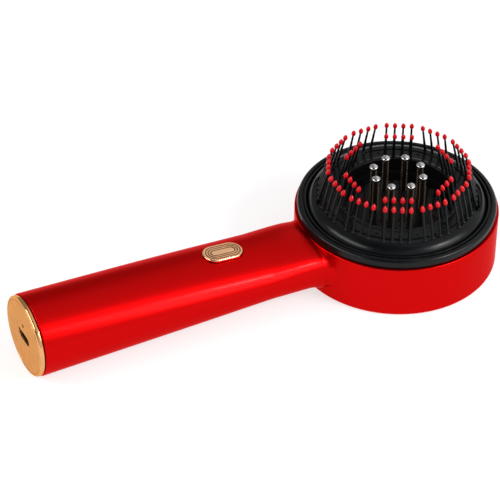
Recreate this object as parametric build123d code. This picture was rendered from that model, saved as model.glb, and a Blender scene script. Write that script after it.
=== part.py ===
from build123d import *
import math
import os

# Electric scalp massager. Millimetres.
# Origin: centre of the drum's flat underside. +Z: the way the bristles point.
# The handle runs along -X, and Y = 0 is the symmetry plane of the housing.
# Distances along the handle are "s", measured from the drum's axis towards -X.

# ---- Housing: drum ----
DRUM_R = 42.5
DRUM_H = 24.0
WALL = 2.2
FLOOR_T = 2.2
DRUM_FOOT_FILLET = 1.8
DRUM_LIP_CHAMFER = 0.35

# ---- Housing: handle, as sections at three distances from the drum's wall ----
NECK_RUN = 4.5
BELLY_RUN = 62.5
HANDLE_L = 124.15
HANDLE_HALF_W = (17.13, 17.69, 17.35)
HANDLE_HALF_H = (10.39, 14.01, 16.94)
HANDLE_MID_Z = (14.70, 16.04, 16.94)
NECK_FILLET = 5.0        # radius of the flare beside the drum, seen from above
NECK_TOP_RUN = 12.5      # the top line dips over this length to the drum's edge
NECK_FOOT_DROP = 2.0     # how far the underside swells down at the drum
NECK_FOOT_RUN = 6.0
ROUND_BULGE = 0.5523     # length of a quarter curve's handles: a true ellipse
NECK_BULGE = 0.70        # the same at the drum, where the section is squarer
ROUND_RUN = 22.5         # the section is a true ellipse from here on
NECK_STATIONS = (-5.6, -4.2, -2.8, -1.4, 0.0, 1.8, 3.6, 5.5, 9.0, 12.5, 17.0, 22.5)
INTO_DRUM = 12.5         # how far the handle's solid reaches into the drum
HOLLOW_INTO_DRUM = 8.5

# ---- Rim ring ----
RIM_SET_IN = 1.0         # the rim stands in from the drum's wall
RIM_W = 3.7
RIM_TOP_Z = 27.7
RIM_EDGE_FILLET = 1.2
RIM_LIP_W = 0.8          # thin lip at the rim's inner edge
RIM_GROOVE_W = 0.8
RIM_GROOVE_DEPTH = 1.2
RIM_LIP_GAP = 0.25       # shadow gap between the drum's edge and the rim
RIM_SKIRT_CLEAR = 0.1
RIM_BEAD = 0.35          # snap bead and its groove in the drum
RIM_BEAD_HALF_H = 0.45
RIM_BEAD_RISE = 1.75     # bead's height above the carrier
RIM_BEAD_CLEAR = 0.1

# ---- Window, columns and LED board ----
LENS_R = 22.8
LENS_T = 2.5
LENS_LEDGE_W = 1.4       # the ledge that the window rests on
GASKET_T = 0.4
GASKET_GAP = 0.05
GASKET_IN = 0.2
COLUMN_COUNT = 8
COLUMN_AT_R = 10.52
COLUMN_R = 1.3
COLUMN_TOP_Z = 40.75
COLUMN_CLEAR = 0.05
PIN_R = 0.6
PIN_CLEAR = 0.03
PIN_TAIL = 0.4
CAP_R = 1.8
CAP_FOOT_R = 1.35
CAP_WIDEST_UP = 0.75
CAP_H = 1.8
CAP_PIN_DEPTH = 0.6
CAP_SIDE = ((1, 0.5), (-1, 0))      # which way the cap's side runs at its foot and top
BOARD_T = 1.6
LED_SIZE = 3.0
LED_H = 1.4
LED_OUTER_R = 16.5
LED_OUTER_COUNT = 8
LED_INNER_R = 5.5
LED_INNER_COUNT = 4

# ---- Head carrier ----
CARRIER_T = 2.0
CARRIER_TOP_Z = 20.0
CARRIER_EDGE_CLEAR = 0.2
TURRET_WALL = 3.15
TURRET_TOP_Z = 25.0
LENS_LEDGE_Z = 22.0
GUIDE_T = 1.4
GUIDE_TOP_Z = 25.6
GUIDE_CLEAR = 0.3        # between the guide ring and the comb's skirt
O_RING_SECTION_R = 0.5
O_RING_Z = 23.1
O_RING_CLEAR = 0.15

# ---- Comb plate, which lifts off ----
COMB_GAP = 0.7           # between the comb and the rim ring
COMB_SKIRT_T = 2.0
COMB_TOP_Z = 30.6
COMB_T = 2.2
COMB_FLANK_W = 3.9       # sloping flank, seen from above
COMB_SHOULDER_Z = 27.0   # where the flank meets the vertical skirt
COMB_SHOULDER_ROUND = (0.5, 0.9)
WELL_CLEAR = 0.4         # the well's wall stands outside the window's edge
WELL_FLARE = 0.7
WELL_GAP = 0.2           # between the comb's inner skirt and the turret
WELL_SKIRT_T = 2.0
COMB_GROOVE_IN = 2.5     # groove's distance in from the land's edge
COMB_GROOVE_W = 0.8
COMB_GROOVE_DEPTH = 0.5
FINGER_OUT = 0.8         # recess centre's distance out from the land's edge
FINGER_W = 2.8
FINGER_SPAN = 28.0
FINGER_DEPTH = 1.7
FINGER_ANGLES = (150.0, -30.0)
DIMPLE_R = 0.8
DIMPLE_DEPTH = 0.4
DIMPLE_OFF_ANGLE = 17.0

# ---- Bristles ----
OUTER_ROWS = 12
OUTER_BASE_IN = 0.9      # root's distance in from the land's edge
OUTER_LEAN = 3.42        # how far the tip leans in from the root
OUTER_TIP_Z = 44.3
OUTER_SPACING = 3.51
INNER_ROWS = 6
INNER_BASE_OUT = 1.1     # root's distance out from the well's edge
INNER_LEAN = 3.22
INNER_TIP_Z = 43.8
INNER_SPACING = 3.57
ROW_COUNT = 4
BRISTLE_ROOT_R = 0.70
BRISTLE_END_R = 0.42
BRISTLE_HOLE_CLEAR = 0.05
BRISTLE_ROOT_PROUD = 0.3
TIP_R = 0.96
TIP_WIDEST_DOWN = 0.2
TIP_FOOT_WALL = 0.28
TIP_ABOVE = 1.6
TIP_BELOW = 1.25
TIP_SOCKET_DEPTH = 0.8
TIP_SIDE = ((0.5, 1), (-0.55, 1))   # which way the tip's side runs at its foot and top

# ---- Fastening in the head ----
CARRIER_BOSS_R = 3.0
CARRIER_SCREWS = 4
CARRIER_SCREW_ANGLE = 45.0
CARRIER_SCREW_R = 1.0
CARRIER_SCREW_BITE = 7.0
LED_SCREWS = 3
LED_SCREW_ANGLE = 30.0
LED_SCREW_R = 0.7
LED_SCREW_BITE = 4.0
SCREW_HEAD_R = 2.0       # head sizes as multiples of the shank's radius
SCREW_HEAD_H = 1.3
SCREW_HEAD_ROUND = 0.4   # of the head's height
SCREW_CROSS_DEPTH = 0.5  # of the head's height
SCREW_CROSS_L = 1.3      # cross recess, as multiples of the head's radius
SCREW_CROSS_W = 0.3
SCREW_CLEAR = 0.03       # between a screw's shank and its pilot hole
SCREW_PASS_CLEAR = 0.2   # in the piece that a screw holds down
PILOT_SPARE = 1.0        # a pilot hole is this much deeper than the screw

# ---- Vibration motor, lying along Y under the board ----
MOTOR_R = 5.0
MOTOR_HALF_L = 10.0
MOTOR_WALL = 0.4
MOTOR_FLOOR_GAP = 0.55
BELL_PLUG = 1.0
BELL_T = 1.5
SHAFT_R = 0.75
SHAFT_CLEAR = 0.03
PRESS_CLEAR = 0.01       # pieces pressed on the shaft
BUSH_R = 1.8
BUSH_L = 1.9
BUSH_PROUD = 0.5
MAGNET_T = 0.95
MAGNET_SPAN = 120.0
MAGNET_HALF_L = 6.5
AIR_GAP = 0.4
ARMATURE_HALF_L = 6.0
ARMATURE_SLOTS = 3
ARMATURE_SLOT_W = 0.8
SHAFT_NOSE = 7.0         # shaft standing out of the motor's front
SHAFT_TAIL = 0.8
WEIGHT_INSIDE = 0.2      # the weight's radius is less than the motor's
WEIGHT_T = 5.0
WEIGHT_FROM_END = 0.3
FIT_GAP = 0.05           # between pieces pushed together
SLEEVE_T = 0.95
SLEEVE_HALF_L = 8.0
CRADLE_WING = 3.0        # saddle's half width beyond the motor's radius
CRADLE_T = 3.0
CRADLE_AT_Y = 6.5
CRADLE_BELOW_AXIS = 1.8
CLAMP_HALF_W = 3.5
CLAMP_T = 1.0
CLAMP_EAR_T = 1.2
CLAMP_BOSS_R = 2.6
CLAMP_BOSS_GAP = 0.85
CLAMP_BELOW_AXIS = 2.8
CLAMP_SCREW_R = 0.8
CLAMP_SCREW_BITE = 2.5   # depth of the clamp's pilot holes
CLAMP_PILOT_SPARE = 0.5  # its screws stop this far short of their ends

# ---- Power button and its switch, in the button's own frame ----
BUTTON_RUN = 38.5        # distance of its centre from the drum's wall
BUTTON_L = 17.2
BUTTON_W = 10.0
BUTTON_PROUD = 0.8
BUTTON_CHAMFER = 0.35
BUTTON_CLEAR = 0.25
BUTTON_TRAVEL = 0.5
BUTTON_GROOVE_W = 0.4
BUTTON_GROOVE_DEPTH = 0.1
BUTTON_GROOVES_IN = (1.2, 2.8)
FLANGE_OVER = 0.7
FLANGE_T = 0.9
FLANGE_GAP = 0.15
POCKET_CEILING = -1.6
POCKET_DEPTH = 4.5
STEM_R = 2.0
STEM_L = 1.5
PLUNGER_R = 1.75
PLUNGER_PROUD = 1.2
PLUNGER_SUNK = 1.0
PLUNGER_CLEAR = 0.05
PLUNGER_SPARE = 0.3      # room below the plunger at the end of its travel
SWITCH_SIZE = 6.0
SWITCH_H = 3.5
SWITCH_CORNER = 0.5
CONTACT_GAP = 0.02

# ---- Control board ----
CONTROL_L = 33.0
CONTROL_W = 15.5
CONTROL_T = 1.2
CONTROL_POST_IN_X = 2.5  # post's distance from the board's end and side
CONTROL_POST_IN_Y = 1.75
CONTROL_POST_R = 1.6
CONTROL_SCREW_R = 0.7
CONTROL_SCREW_BITE = 3.0
CHIPS = (                # controller, motor driver, capacitor: x, y, length, width, height
    (7.0, 0.0, 5.0, 5.0, 1.0),
    (-7.0, 2.5, 4.0, 3.0, 1.2),
    (6.3, 5.0, 3.5, 2.0, 1.3),
)
COIL_X = -7.0
COIL_Y = -3.5
COIL_R = 2.2
COIL_H = 2.2
SOCKET_L = 4.0
SOCKET_W = 7.0
SOCKET_H = 3.4
SOCKET_EDGE = 1.0        # from the board's end to the socket's face

# ---- Handle chassis and battery ----
TRAY_BOTTOM_Z = 8.4
TRAY_T = 1.6
TRAY_BESIDE_CELL = 1.5
TRAY_FRONT_RUN = 17.5
STOP_T = 1.8
STOP_HALF_W = 6.0
KEEL_T = 1.6
KEEL_HALF_W = 2.5
KEEL_CLEAR = 0.35
KEEL_FROM_FRONT = (10.0, 50.0)
KEEL_FROM_REAR = 6.0
CELL_R = 7.0
CELL_L = 50.0
CELL_EDGE_FILLET = 0.6
CELL_NUB_R = 2.6
CELL_NUB_H = 1.0
CELL_CLEAR = 0.05
CELL_END_GAP = 0.3
CONTACT_T = 0.4
CONTACT_H = 6.0
CONTACT_TAB = 1.6        # the rear contact is wider than the cell by this much
FRONT_WALL_T = 1.6
FRONT_WALL_HALF_W = 6.0
SADDLE_T = 2.0
SADDLE_FROM_ENDS = 10.0
REAR_WALL_T = 2.0
REAR_WALL_BESIDE_TRAY = 1.5
REAR_WALL_H = 18.0
REAR_WALL_CORNER = 3.0

# ---- End cap, charging socket and its light ----
CAP_HALF_W = 17.13
CAP_HALF_H = 16.55
CAP_GAP = 0.2
CAP_PROUD = 2.22
CAP_FILLET = 1.0
CAP_PLUG_L = 5.6
CAP_PLUG_CLEAR = 0.15
CAP_SHELL_T = 1.8
SEAL_SECTION_R = 0.5
SEAL_FROM_END = 3.0
SEAL_GROOVE_SPARE = 0.15
SLOT_L = 10.8
SLOT_H = 3.7
USB_L = 8.94
USB_H = 3.2
USB_WALL = 0.3
USB_SOCKET_L = 7.7
USB_RECESS = 0.6
USB_BACK_T = 2.0
TONGUE_W = 6.7
TONGUE_T = 0.7
TONGUE_SHORT = 1.2
CHARGE_BOARD_T = 1.2
LIGHT_ABOVE_SLOT = 5.4
LIGHT_PIPE_R = 0.6
LIGHT_PIPE_CLEAR = 0.05
CHARGE_LED_T = 0.9
CHARGE_LED_SIZE = 1.6
CHASSIS_BOSS_Y = 8.0
CHASSIS_BOSS_DROP = 5.2
CHASSIS_BOSS_R = 1.9
CHASSIS_SCREW_R = 0.8
CHASSIS_SCREW_BITE = 4.0

# ---- Leads ----
LEAD_R = 0.5
LEAD_PITCH = 1.5
LEAD_BESIDE_CELL = 3.2   # how far the side leads run from the cell's wall
LEAD_HOLE_R = 1.6
LEAD_BEND = 0.45         # share of the shorter run that a bend takes up

# ---- Sizes worked out from the ones above ----
DRUM_IN_R = DRUM_R - WALL
HANDLE_S = (DRUM_R + NECK_RUN, DRUM_R + BELLY_RUN, DRUM_R + HANDLE_L)
HANDLE_END_S = HANDLE_S[-1]
RIM_R = DRUM_R - RIM_SET_IN
RIM_IN_R = RIM_R - RIM_W
COMB_OUT_R = RIM_IN_R - COMB_GAP
COMB_SKIRT_IN_R = COMB_OUT_R - COMB_SKIRT_T
COMB_LAND_R = COMB_OUT_R - COMB_FLANK_W
COMB_UNDER_Z = COMB_TOP_Z - COMB_T
GUIDE_R = COMB_SKIRT_IN_R - GUIDE_CLEAR
O_RING_R = COMB_SKIRT_IN_R - O_RING_CLEAR - O_RING_SECTION_R
CARRIER_BOTTOM_Z = CARRIER_TOP_Z - CARRIER_T
TURRET_IN_R = LENS_R + FIT_GAP
TURRET_OUT_R = TURRET_IN_R + TURRET_WALL
WINDOW_OPENING_R = LENS_R - LENS_LEDGE_W
WELL_BOTTOM_R = LENS_R + WELL_CLEAR
WELL_TOP_R = WELL_BOTTOM_R + WELL_FLARE
OUTER_BASE_R = COMB_LAND_R - OUTER_BASE_IN
INNER_BASE_R = WELL_TOP_R + INNER_BASE_OUT
CARRIER_BOSS_AT_R = (TURRET_OUT_R + GUIDE_R - GUIDE_T) / 2
LED_SCREW_AT_R = (TURRET_IN_R + TURRET_OUT_R) / 2
LED_BOARD_BOTTOM_Z = CARRIER_BOTTOM_Z - BOARD_T
LENS_BOTTOM_Z = LENS_LEDGE_Z + GASKET_T + 2 * GASKET_GAP
SLEEVE_OUT_R = MOTOR_R + FIT_GAP + SLEEVE_T
CLAMP_IN_R = SLEEVE_OUT_R + FIT_GAP
CLAMP_OUT_R = CLAMP_IN_R + CLAMP_T
MOTOR_Z = FLOOR_T + MOTOR_FLOOR_GAP + CLAMP_IN_R
CLAMP_BOSS_X = CLAMP_OUT_R + CLAMP_BOSS_GAP + CLAMP_BOSS_R
CLAMP_BOSS_TOP_Z = MOTOR_Z - CLAMP_BELOW_AXIS
BUTTON_S = DRUM_R + BUTTON_RUN
TRAY_FRONT_S = DRUM_R + TRAY_FRONT_RUN
TRAY_HALF_W = CELL_R + TRAY_BESIDE_CELL
TRAY_TOP_Z = TRAY_BOTTOM_Z + TRAY_T
CELL_Z = TRAY_TOP_Z + CELL_END_GAP + CELL_R
SLOT_Z = HANDLE_MID_Z[-1]
CAP_INNER_S = HANDLE_END_S + CAP_GAP
CAP_FACE_S = HANDLE_END_S + CAP_PROUD
USB_MOUTH_S = CAP_FACE_S - USB_RECESS
BOSS_END_S = USB_MOUTH_S - USB_SOCKET_L
CHARGE_BOARD_S = BOSS_END_S - CHARGE_BOARD_T
REAR_WALL_S = CHARGE_BOARD_S - REAR_WALL_T
REAR_CONTACT_S = REAR_WALL_S - CONTACT_T
CELL_FRONT_S = REAR_CONTACT_S - CELL_END_GAP - CELL_L
FRONT_CONTACT_S = CELL_FRONT_S - CELL_END_GAP - CONTACT_T
SWITCH_TOP = POCKET_CEILING - FLANGE_GAP - FLANGE_T - STEM_L - CONTACT_GAP - PLUNGER_PROUD
CONTROL_TOP = SWITCH_TOP - SWITCH_H
CONTROL_BOTTOM = CONTROL_TOP - CONTROL_T

FROM_BOTTOM = (Align.CENTER, Align.CENTER, Align.MIN)
THROUGH = 1.0            # how far a cutting solid stands out past what it cuts


# ---- Shapes used all over ----

def turned(*outline):
    """A solid of revolution about Z from an outline of (radius, z) points."""
    return revolve(Plane.XZ * Polygon(*outline, align=None), axis=Axis.Z)


def ring(r_in, r_out, z_low, z_high):
    return turned((r_in, z_low), (r_out, z_low), (r_out, z_high), (r_in, z_high))


def disc(radius, z_low, z_high):
    return Pos(0, 0, z_low) * Cylinder(radius, z_high - z_low, align=FROM_BOTTOM)


def block(x_low, x_high, y_low, y_high, z_low, z_high):
    middle = Pos((x_low + x_high) / 2, (y_low + y_high) / 2, (z_low + z_high) / 2)
    return middle * Box(x_high - x_low, y_high - y_low, z_high - z_low)


def around(count, radius, start_angle=0.0):
    """Places on a circle about Z, each turned to face outwards."""
    return [Rot(0, 0, start_angle + 360 * i / count) * Pos(radius, 0, 0) for i in range(count)]


def at_ends(x):
    return (Pos(-x, 0, 0), Pos(x, 0, 0))


def at_corners(x, y):
    return [place * Pos(0, side * y, 0) for place in at_ends(x) for side in (-1, 1)]


def along_x(s, y, z):
    """A frame in the handle: Z looks along -X, towards the end cap, and Y is up."""
    return Plane(origin=(-s, y, z), x_dir=(0, -1, 0), z_dir=(-1, 0, 0))


def group(solids):
    return Compound(list(solids))


def drop_turned(r_foot, z_foot, r_widest, z_widest, z_top, side_ways):
    """A drop-shaped solid about Z: flat foot, one widest ring, and a top on the axis."""
    side = Spline([(r_foot, z_foot), (r_widest, z_widest), (0, z_top)], tangents=side_ways)
    outline = side + Polyline((0, z_top), (0, z_foot), (r_foot, z_foot))
    return revolve(Plane.XZ * make_face(outline), axis=Axis.Z)


def screw(shank_r, length):
    """A pan-head screw at the origin: head above, shank down along -Z."""
    head_r = SCREW_HEAD_R * shank_r
    head_h = SCREW_HEAD_H * shank_r
    shank = disc(shank_r, -length, 0)
    head = disc(head_r, 0, head_h)
    head = fillet(head.edges().sort_by(Axis.Z)[-1], SCREW_HEAD_ROUND * head_h)
    slot = Box(SCREW_CROSS_L * head_r, SCREW_CROSS_W * head_r, head_h, align=FROM_BOTTOM)
    slot = Pos(0, 0, (1 - SCREW_CROSS_DEPTH) * head_h) * slot
    return shank + head - slot - Rot(0, 0, 90) * slot


def pilot(shank_r, bite):
    """The hole that a screw bites into, open at the top, below the origin."""
    return disc(shank_r + SCREW_CLEAR, -bite - PILOT_SPARE, THROUGH)


def passing_hole(shank_r, thickness):
    """The free hole in the piece that a screw holds down, thickness below the origin."""
    return disc(shank_r + SCREW_PASS_CLEAR, -thickness - THROUGH, THROUGH)


# ---- Housing ----

def between_stations(s, values):
    """Straight-line value at distance s between the handle's named sections."""
    low = 0 if s <= HANDLE_S[1] else 1
    share = (s - HANDLE_S[low]) / (HANDLE_S[low + 1] - HANDLE_S[low])
    return values[low] + share * (values[low + 1] - values[low])


def straight_top_z(s):
    return between_stations(s, HANDLE_MID_Z) + between_stations(s, HANDLE_HALF_H)


def handle_top_z(s):
    """The top line, dipping near the drum so that it meets the drum's edge."""
    s = max(s, DRUM_R)
    dip = straight_top_z(DRUM_R) - DRUM_H
    reach = max(0.0, DRUM_R + NECK_TOP_RUN - s) / NECK_TOP_RUN
    return straight_top_z(s) - dip * reach ** 2


def handle_bottom_z(s):
    s = max(s, DRUM_R)
    line = between_stations(s, HANDLE_MID_Z) - between_stations(s, HANDLE_HALF_H)
    reach = max(0.0, DRUM_R + NECK_FOOT_RUN - s) / NECK_FOOT_RUN
    return line - NECK_FOOT_DROP * reach ** 2


def handle_half_width(s):
    """Plain half width, plus a round flare that runs out on the drum's wall."""
    plain = between_stations(s, HANDLE_HALF_W)
    flare_y = HANDLE_HALF_W[0] + NECK_FILLET
    flare_s = math.sqrt((DRUM_R + NECK_FILLET) ** 2 - flare_y ** 2)
    tangent_s = flare_s * DRUM_R / (DRUM_R + NECK_FILLET)
    inside = max(0.0, flare_s - max(s, tangent_s))
    return plain + NECK_FILLET - math.sqrt(NECK_FILLET ** 2 - inside ** 2)


def section_bulge(s):
    share = min(1.0, max(0.0, (s - DRUM_R) / ROUND_RUN))
    return NECK_BULGE + share * (ROUND_BULGE - NECK_BULGE)


def quarter(a, b, bulge):
    """A rounded quarter from (a, 0) to (0, b)."""
    return Bezier((a, 0), (a, bulge * b), (bulge * a, b), (0, b))


def handle_section(s, inset):
    """The handle's outline at distance s, moved inwards by inset."""
    a = handle_half_width(s) - inset
    b = (handle_top_z(s) - handle_bottom_z(s)) / 2 - inset
    bulge = section_bulge(s)
    signs = ((1, 1), (-1, 1), (-1, -1), (1, -1))
    outline = [quarter(x * a, y * b, bulge) for x, y in signs]
    middle_z = (handle_top_z(s) + handle_bottom_z(s)) / 2
    return along_x(s, 0, middle_z) * make_face(outline)


def handle_body(inset, start_s, end_s):
    """A solid through sections that stand closer together where the neck flares."""
    neck = [DRUM_R + run for run in NECK_STATIONS if DRUM_R + run > start_s]
    stations = [start_s] + neck + [HANDLE_S[1], end_s]
    return loft([handle_section(s, inset) for s in stations], ruled=True)


def button_frame():
    """Origin on the handle's top line, X along it towards the drum, Z out of it."""
    half = BUTTON_L / 2
    rise = handle_top_z(BUTTON_S + half) - handle_top_z(BUTTON_S - half)
    slope = math.atan2(rise, BUTTON_L)
    along = (math.cos(slope), 0, -math.sin(slope))
    out = (math.sin(slope), 0, math.cos(slope))
    return Plane(origin=(-BUTTON_S, 0, handle_top_z(BUTTON_S)), x_dir=along, z_dir=out)


def stadium(length, width, z_low, z_high):
    return Pos(0, 0, z_low) * extrude(SlotOverall(length, width), z_high - z_low)


def drum_shell():
    drum = disc(DRUM_R, 0, DRUM_H)
    drum = fillet(drum.edges().sort_by(Axis.Z)[0], DRUM_FOOT_FILLET)
    return chamfer(drum.edges().sort_by(Axis.Z)[-1], DRUM_LIP_CHAMFER)


def drum_hollow():
    """The drum's inside, with the groove that the rim ring snaps into."""
    bead_z = CARRIER_TOP_Z + RIM_BEAD_RISE
    half = RIM_BEAD_HALF_H + RIM_BEAD_CLEAR
    top = DRUM_H + THROUGH
    return turned((0, FLOOR_T), (DRUM_IN_R, FLOOR_T), (DRUM_IN_R, bead_z - half),
                  (DRUM_IN_R + RIM_BEAD, bead_z), (DRUM_IN_R, bead_z + half),
                  (DRUM_IN_R, top), (0, top))


def carrier_screw_places():
    return around(CARRIER_SCREWS, CARRIER_BOSS_AT_R, CARRIER_SCREW_ANGLE)


def carrier_bosses():
    boss = disc(CARRIER_BOSS_R, FLOOR_T / 2, CARRIER_BOTTOM_Z)
    boss -= Pos(0, 0, CARRIER_BOTTOM_Z) * pilot(CARRIER_SCREW_R, CARRIER_SCREW_BITE)
    return [place * boss for place in carrier_screw_places()]


def motor_cradle():
    """Two saddles for the motor's sleeve and two bosses for its clamp."""
    wing = MOTOR_R + CRADLE_WING
    half_t = CRADLE_T / 2
    top = MOTOR_Z - CRADLE_BELOW_AXIS
    saddle = block(-wing, wing, -half_t, half_t, FLOOR_T / 2, top)
    bed = motor_tube(0, CLAMP_IN_R, -2 * MOTOR_HALF_L, 2 * MOTOR_HALF_L)
    boss = disc(CLAMP_BOSS_R, FLOOR_T / 2, CLAMP_BOSS_TOP_Z)
    hole = disc(CLAMP_SCREW_R + SCREW_CLEAR, -CLAMP_SCREW_BITE, THROUGH)
    boss -= Pos(0, 0, CLAMP_BOSS_TOP_Z) * hole
    saddles = [Pos(0, y, 0) * saddle - bed for y in (-CRADLE_AT_Y, CRADLE_AT_Y)]
    return saddles + [place * boss for place in at_ends(CLAMP_BOSS_X)]


def chassis_stop():
    """A rib across the handle's floor that the chassis meets when it slides in."""
    low = handle_bottom_z(TRAY_FRONT_S) + WALL / 2
    return block(-TRAY_FRONT_S, STOP_T - TRAY_FRONT_S, -STOP_HALF_W, STOP_HALF_W, low, TRAY_TOP_Z)


def button_opening():
    hole = stadium(BUTTON_L + 2 * BUTTON_CLEAR, BUTTON_W + 2 * BUTTON_CLEAR,
                   -POCKET_DEPTH, BUTTON_PROUD + THROUGH)
    spread = 2 * (FLANGE_OVER + BUTTON_CLEAR)
    pocket = stadium(BUTTON_L + spread, BUTTON_W + spread, -POCKET_DEPTH, POCKET_CEILING)
    return button_frame() * (hole + pocket)


def main_housing():
    shell = drum_shell() + handle_body(0, DRUM_R - INTO_DRUM, HANDLE_END_S)
    shell -= handle_body(WALL, DRUM_R - HOLLOW_INTO_DRUM, HANDLE_END_S + THROUGH)
    shell -= drum_hollow()
    shell -= button_opening()
    for piece in carrier_bosses() + motor_cradle() + [chassis_stop()]:
        shell += piece
    return shell


# ---- Rim ring and carrier ----

def rim_ring():
    skirt_r = DRUM_IN_R - RIM_SKIRT_CLEAR
    under_z = DRUM_H + RIM_LIP_GAP
    groove_in = RIM_IN_R + RIM_LIP_W
    groove_out = groove_in + RIM_GROOVE_W
    groove_z = RIM_TOP_Z - RIM_GROOVE_DEPTH
    bead_z = CARRIER_TOP_Z + RIM_BEAD_RISE
    part = turned((RIM_IN_R, CARRIER_TOP_Z), (skirt_r, CARRIER_TOP_Z),
                  (skirt_r, bead_z - RIM_BEAD_HALF_H), (skirt_r + RIM_BEAD, bead_z),
                  (skirt_r, bead_z + RIM_BEAD_HALF_H), (skirt_r, under_z), (RIM_R, under_z),
                  (RIM_R, RIM_TOP_Z), (groove_out, RIM_TOP_Z), (groove_out, groove_z),
                  (groove_in, groove_z), (groove_in, RIM_TOP_Z), (RIM_IN_R, RIM_TOP_Z))
    top_edges = part.edges().filter_by_position(Axis.Z, RIM_TOP_Z, RIM_TOP_Z)
    return fillet(top_edges.sort_by(SortBy.RADIUS)[-1], RIM_EDGE_FILLET)


def led_screw_places():
    return around(LED_SCREWS, LED_SCREW_AT_R, LED_SCREW_ANGLE)


def head_carrier():
    """The disc that closes the drum, with the window's turret and the comb's guide ring."""
    low = CARRIER_BOTTOM_Z
    part = ring(WINDOW_OPENING_R, DRUM_IN_R - CARRIER_EDGE_CLEAR, low, CARRIER_TOP_Z)
    part += ring(WINDOW_OPENING_R, TURRET_OUT_R, low, LENS_LEDGE_Z)
    part += ring(TURRET_IN_R, TURRET_OUT_R, low, TURRET_TOP_Z)
    part += ring(GUIDE_R - GUIDE_T, GUIDE_R, low, GUIDE_TOP_Z)
    part -= o_ring_groove()
    hole = Pos(0, 0, CARRIER_TOP_Z) * passing_hole(CARRIER_SCREW_R, CARRIER_T)
    part -= [place * hole for place in carrier_screw_places()]
    hole = Pos(0, 0, low) * Rot(180, 0, 0) * pilot(LED_SCREW_R, LED_SCREW_BITE)
    return part - [place * hole for place in led_screw_places()]


def o_ring_groove():
    half = O_RING_SECTION_R + O_RING_CLEAR
    floor_r = O_RING_R - O_RING_SECTION_R - FIT_GAP
    return ring(floor_r, GUIDE_R + THROUGH, O_RING_Z - half, O_RING_Z + half)


def comb_o_ring():
    return Pos(0, 0, O_RING_Z) * Torus(O_RING_R, O_RING_SECTION_R)


def carrier_screws():
    one = Pos(0, 0, CARRIER_TOP_Z) * screw(CARRIER_SCREW_R, CARRIER_T + CARRIER_SCREW_BITE)
    return group(place * one for place in carrier_screw_places())


# ---- Comb plate and bristles ----

def row_frames(rows, base_r, lean, tip_z, spacing):
    """A frame for each bristle: origin on the plate, Z along the bristle."""
    rise = Vector(-lean, 0, tip_z - COMB_TOP_Z)
    first = -(ROW_COUNT - 1) / 2
    frames = []
    for row in range(rows):
        turn = Rot(0, 0, 360 * row / rows)
        for i in range(ROW_COUNT):
            root = Plane(origin=(base_r, (first + i) * spacing, COMB_TOP_Z), z_dir=rise)
            frames.append(turn * root.location)
    return frames


def outer_frames():
    return row_frames(OUTER_ROWS, OUTER_BASE_R, OUTER_LEAN, OUTER_TIP_Z, OUTER_SPACING)


def inner_frames():
    return row_frames(INNER_ROWS, INNER_BASE_R, INNER_LEAN, INNER_TIP_Z, INNER_SPACING)


def outer_length():
    return math.hypot(OUTER_LEAN, OUTER_TIP_Z - COMB_TOP_Z)


def inner_length():
    return math.hypot(INNER_LEAN, INNER_TIP_Z - COMB_TOP_Z)


def comb_blank():
    """The annular plate with its flank, outer skirt and inner skirt."""
    well_z = TURRET_TOP_Z + WELL_GAP
    round_r, round_z = COMB_SHOULDER_ROUND
    return turned((WELL_BOTTOM_R, well_z), (WELL_TOP_R, COMB_TOP_Z), (COMB_LAND_R, COMB_TOP_Z),
                  (COMB_OUT_R - round_r, COMB_SHOULDER_Z + round_z),
                  (COMB_OUT_R, COMB_SHOULDER_Z),
                  (COMB_OUT_R, CARRIER_TOP_Z), (COMB_SKIRT_IN_R, CARRIER_TOP_Z),
                  (COMB_SKIRT_IN_R, GUIDE_TOP_Z + round_z), (COMB_LAND_R, COMB_UNDER_Z),
                  (WELL_TOP_R + WELL_SKIRT_T, COMB_UNDER_Z), (WELL_BOTTOM_R + WELL_SKIRT_T, well_z))


def finger_recess(angle):
    arc = CenterArc((0, 0), COMB_LAND_R + FINGER_OUT, angle - FINGER_SPAN / 2, FINGER_SPAN)
    outline = SlotArc(arc, FINGER_W)
    return Pos(0, 0, COMB_TOP_Z - FINGER_DEPTH) * extrude(outline, FINGER_DEPTH + THROUGH)


def comb_dimples():
    dimple = disc(DIMPLE_R, COMB_TOP_Z - DIMPLE_DEPTH, COMB_TOP_Z + THROUGH)
    at_r = (WELL_TOP_R + COMB_LAND_R) / 2
    places = []
    for side in (-DIMPLE_OFF_ANGLE, DIMPLE_OFF_ANGLE):
        places += around(INNER_ROWS, at_r, side)
    return [place * dimple for place in places]


def comb_plate():
    groove_r = COMB_LAND_R - COMB_GROOVE_IN
    part = comb_blank()
    part -= ring(groove_r - COMB_GROOVE_W / 2, groove_r + COMB_GROOVE_W / 2,
                 COMB_TOP_Z - COMB_GROOVE_DEPTH, COMB_TOP_Z + THROUGH)
    part -= [finger_recess(angle) for angle in FINGER_ANGLES]
    part -= comb_dimples()
    hole = disc(BRISTLE_ROOT_R + BRISTLE_HOLE_CLEAR, -COMB_T - THROUGH, THROUGH)
    return part - [frame * hole for frame in outer_frames() + inner_frames()]


def bristle(length):
    """Root through the plate, then a taper that ends inside the tip."""
    root_end = -COMB_T - BRISTLE_ROOT_PROUD
    top = length - TIP_BELOW + TIP_SOCKET_DEPTH - FIT_GAP
    return turned((0, root_end), (BRISTLE_ROOT_R, root_end), (BRISTLE_ROOT_R, 0),
                  (BRISTLE_END_R, top), (0, top))


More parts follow.
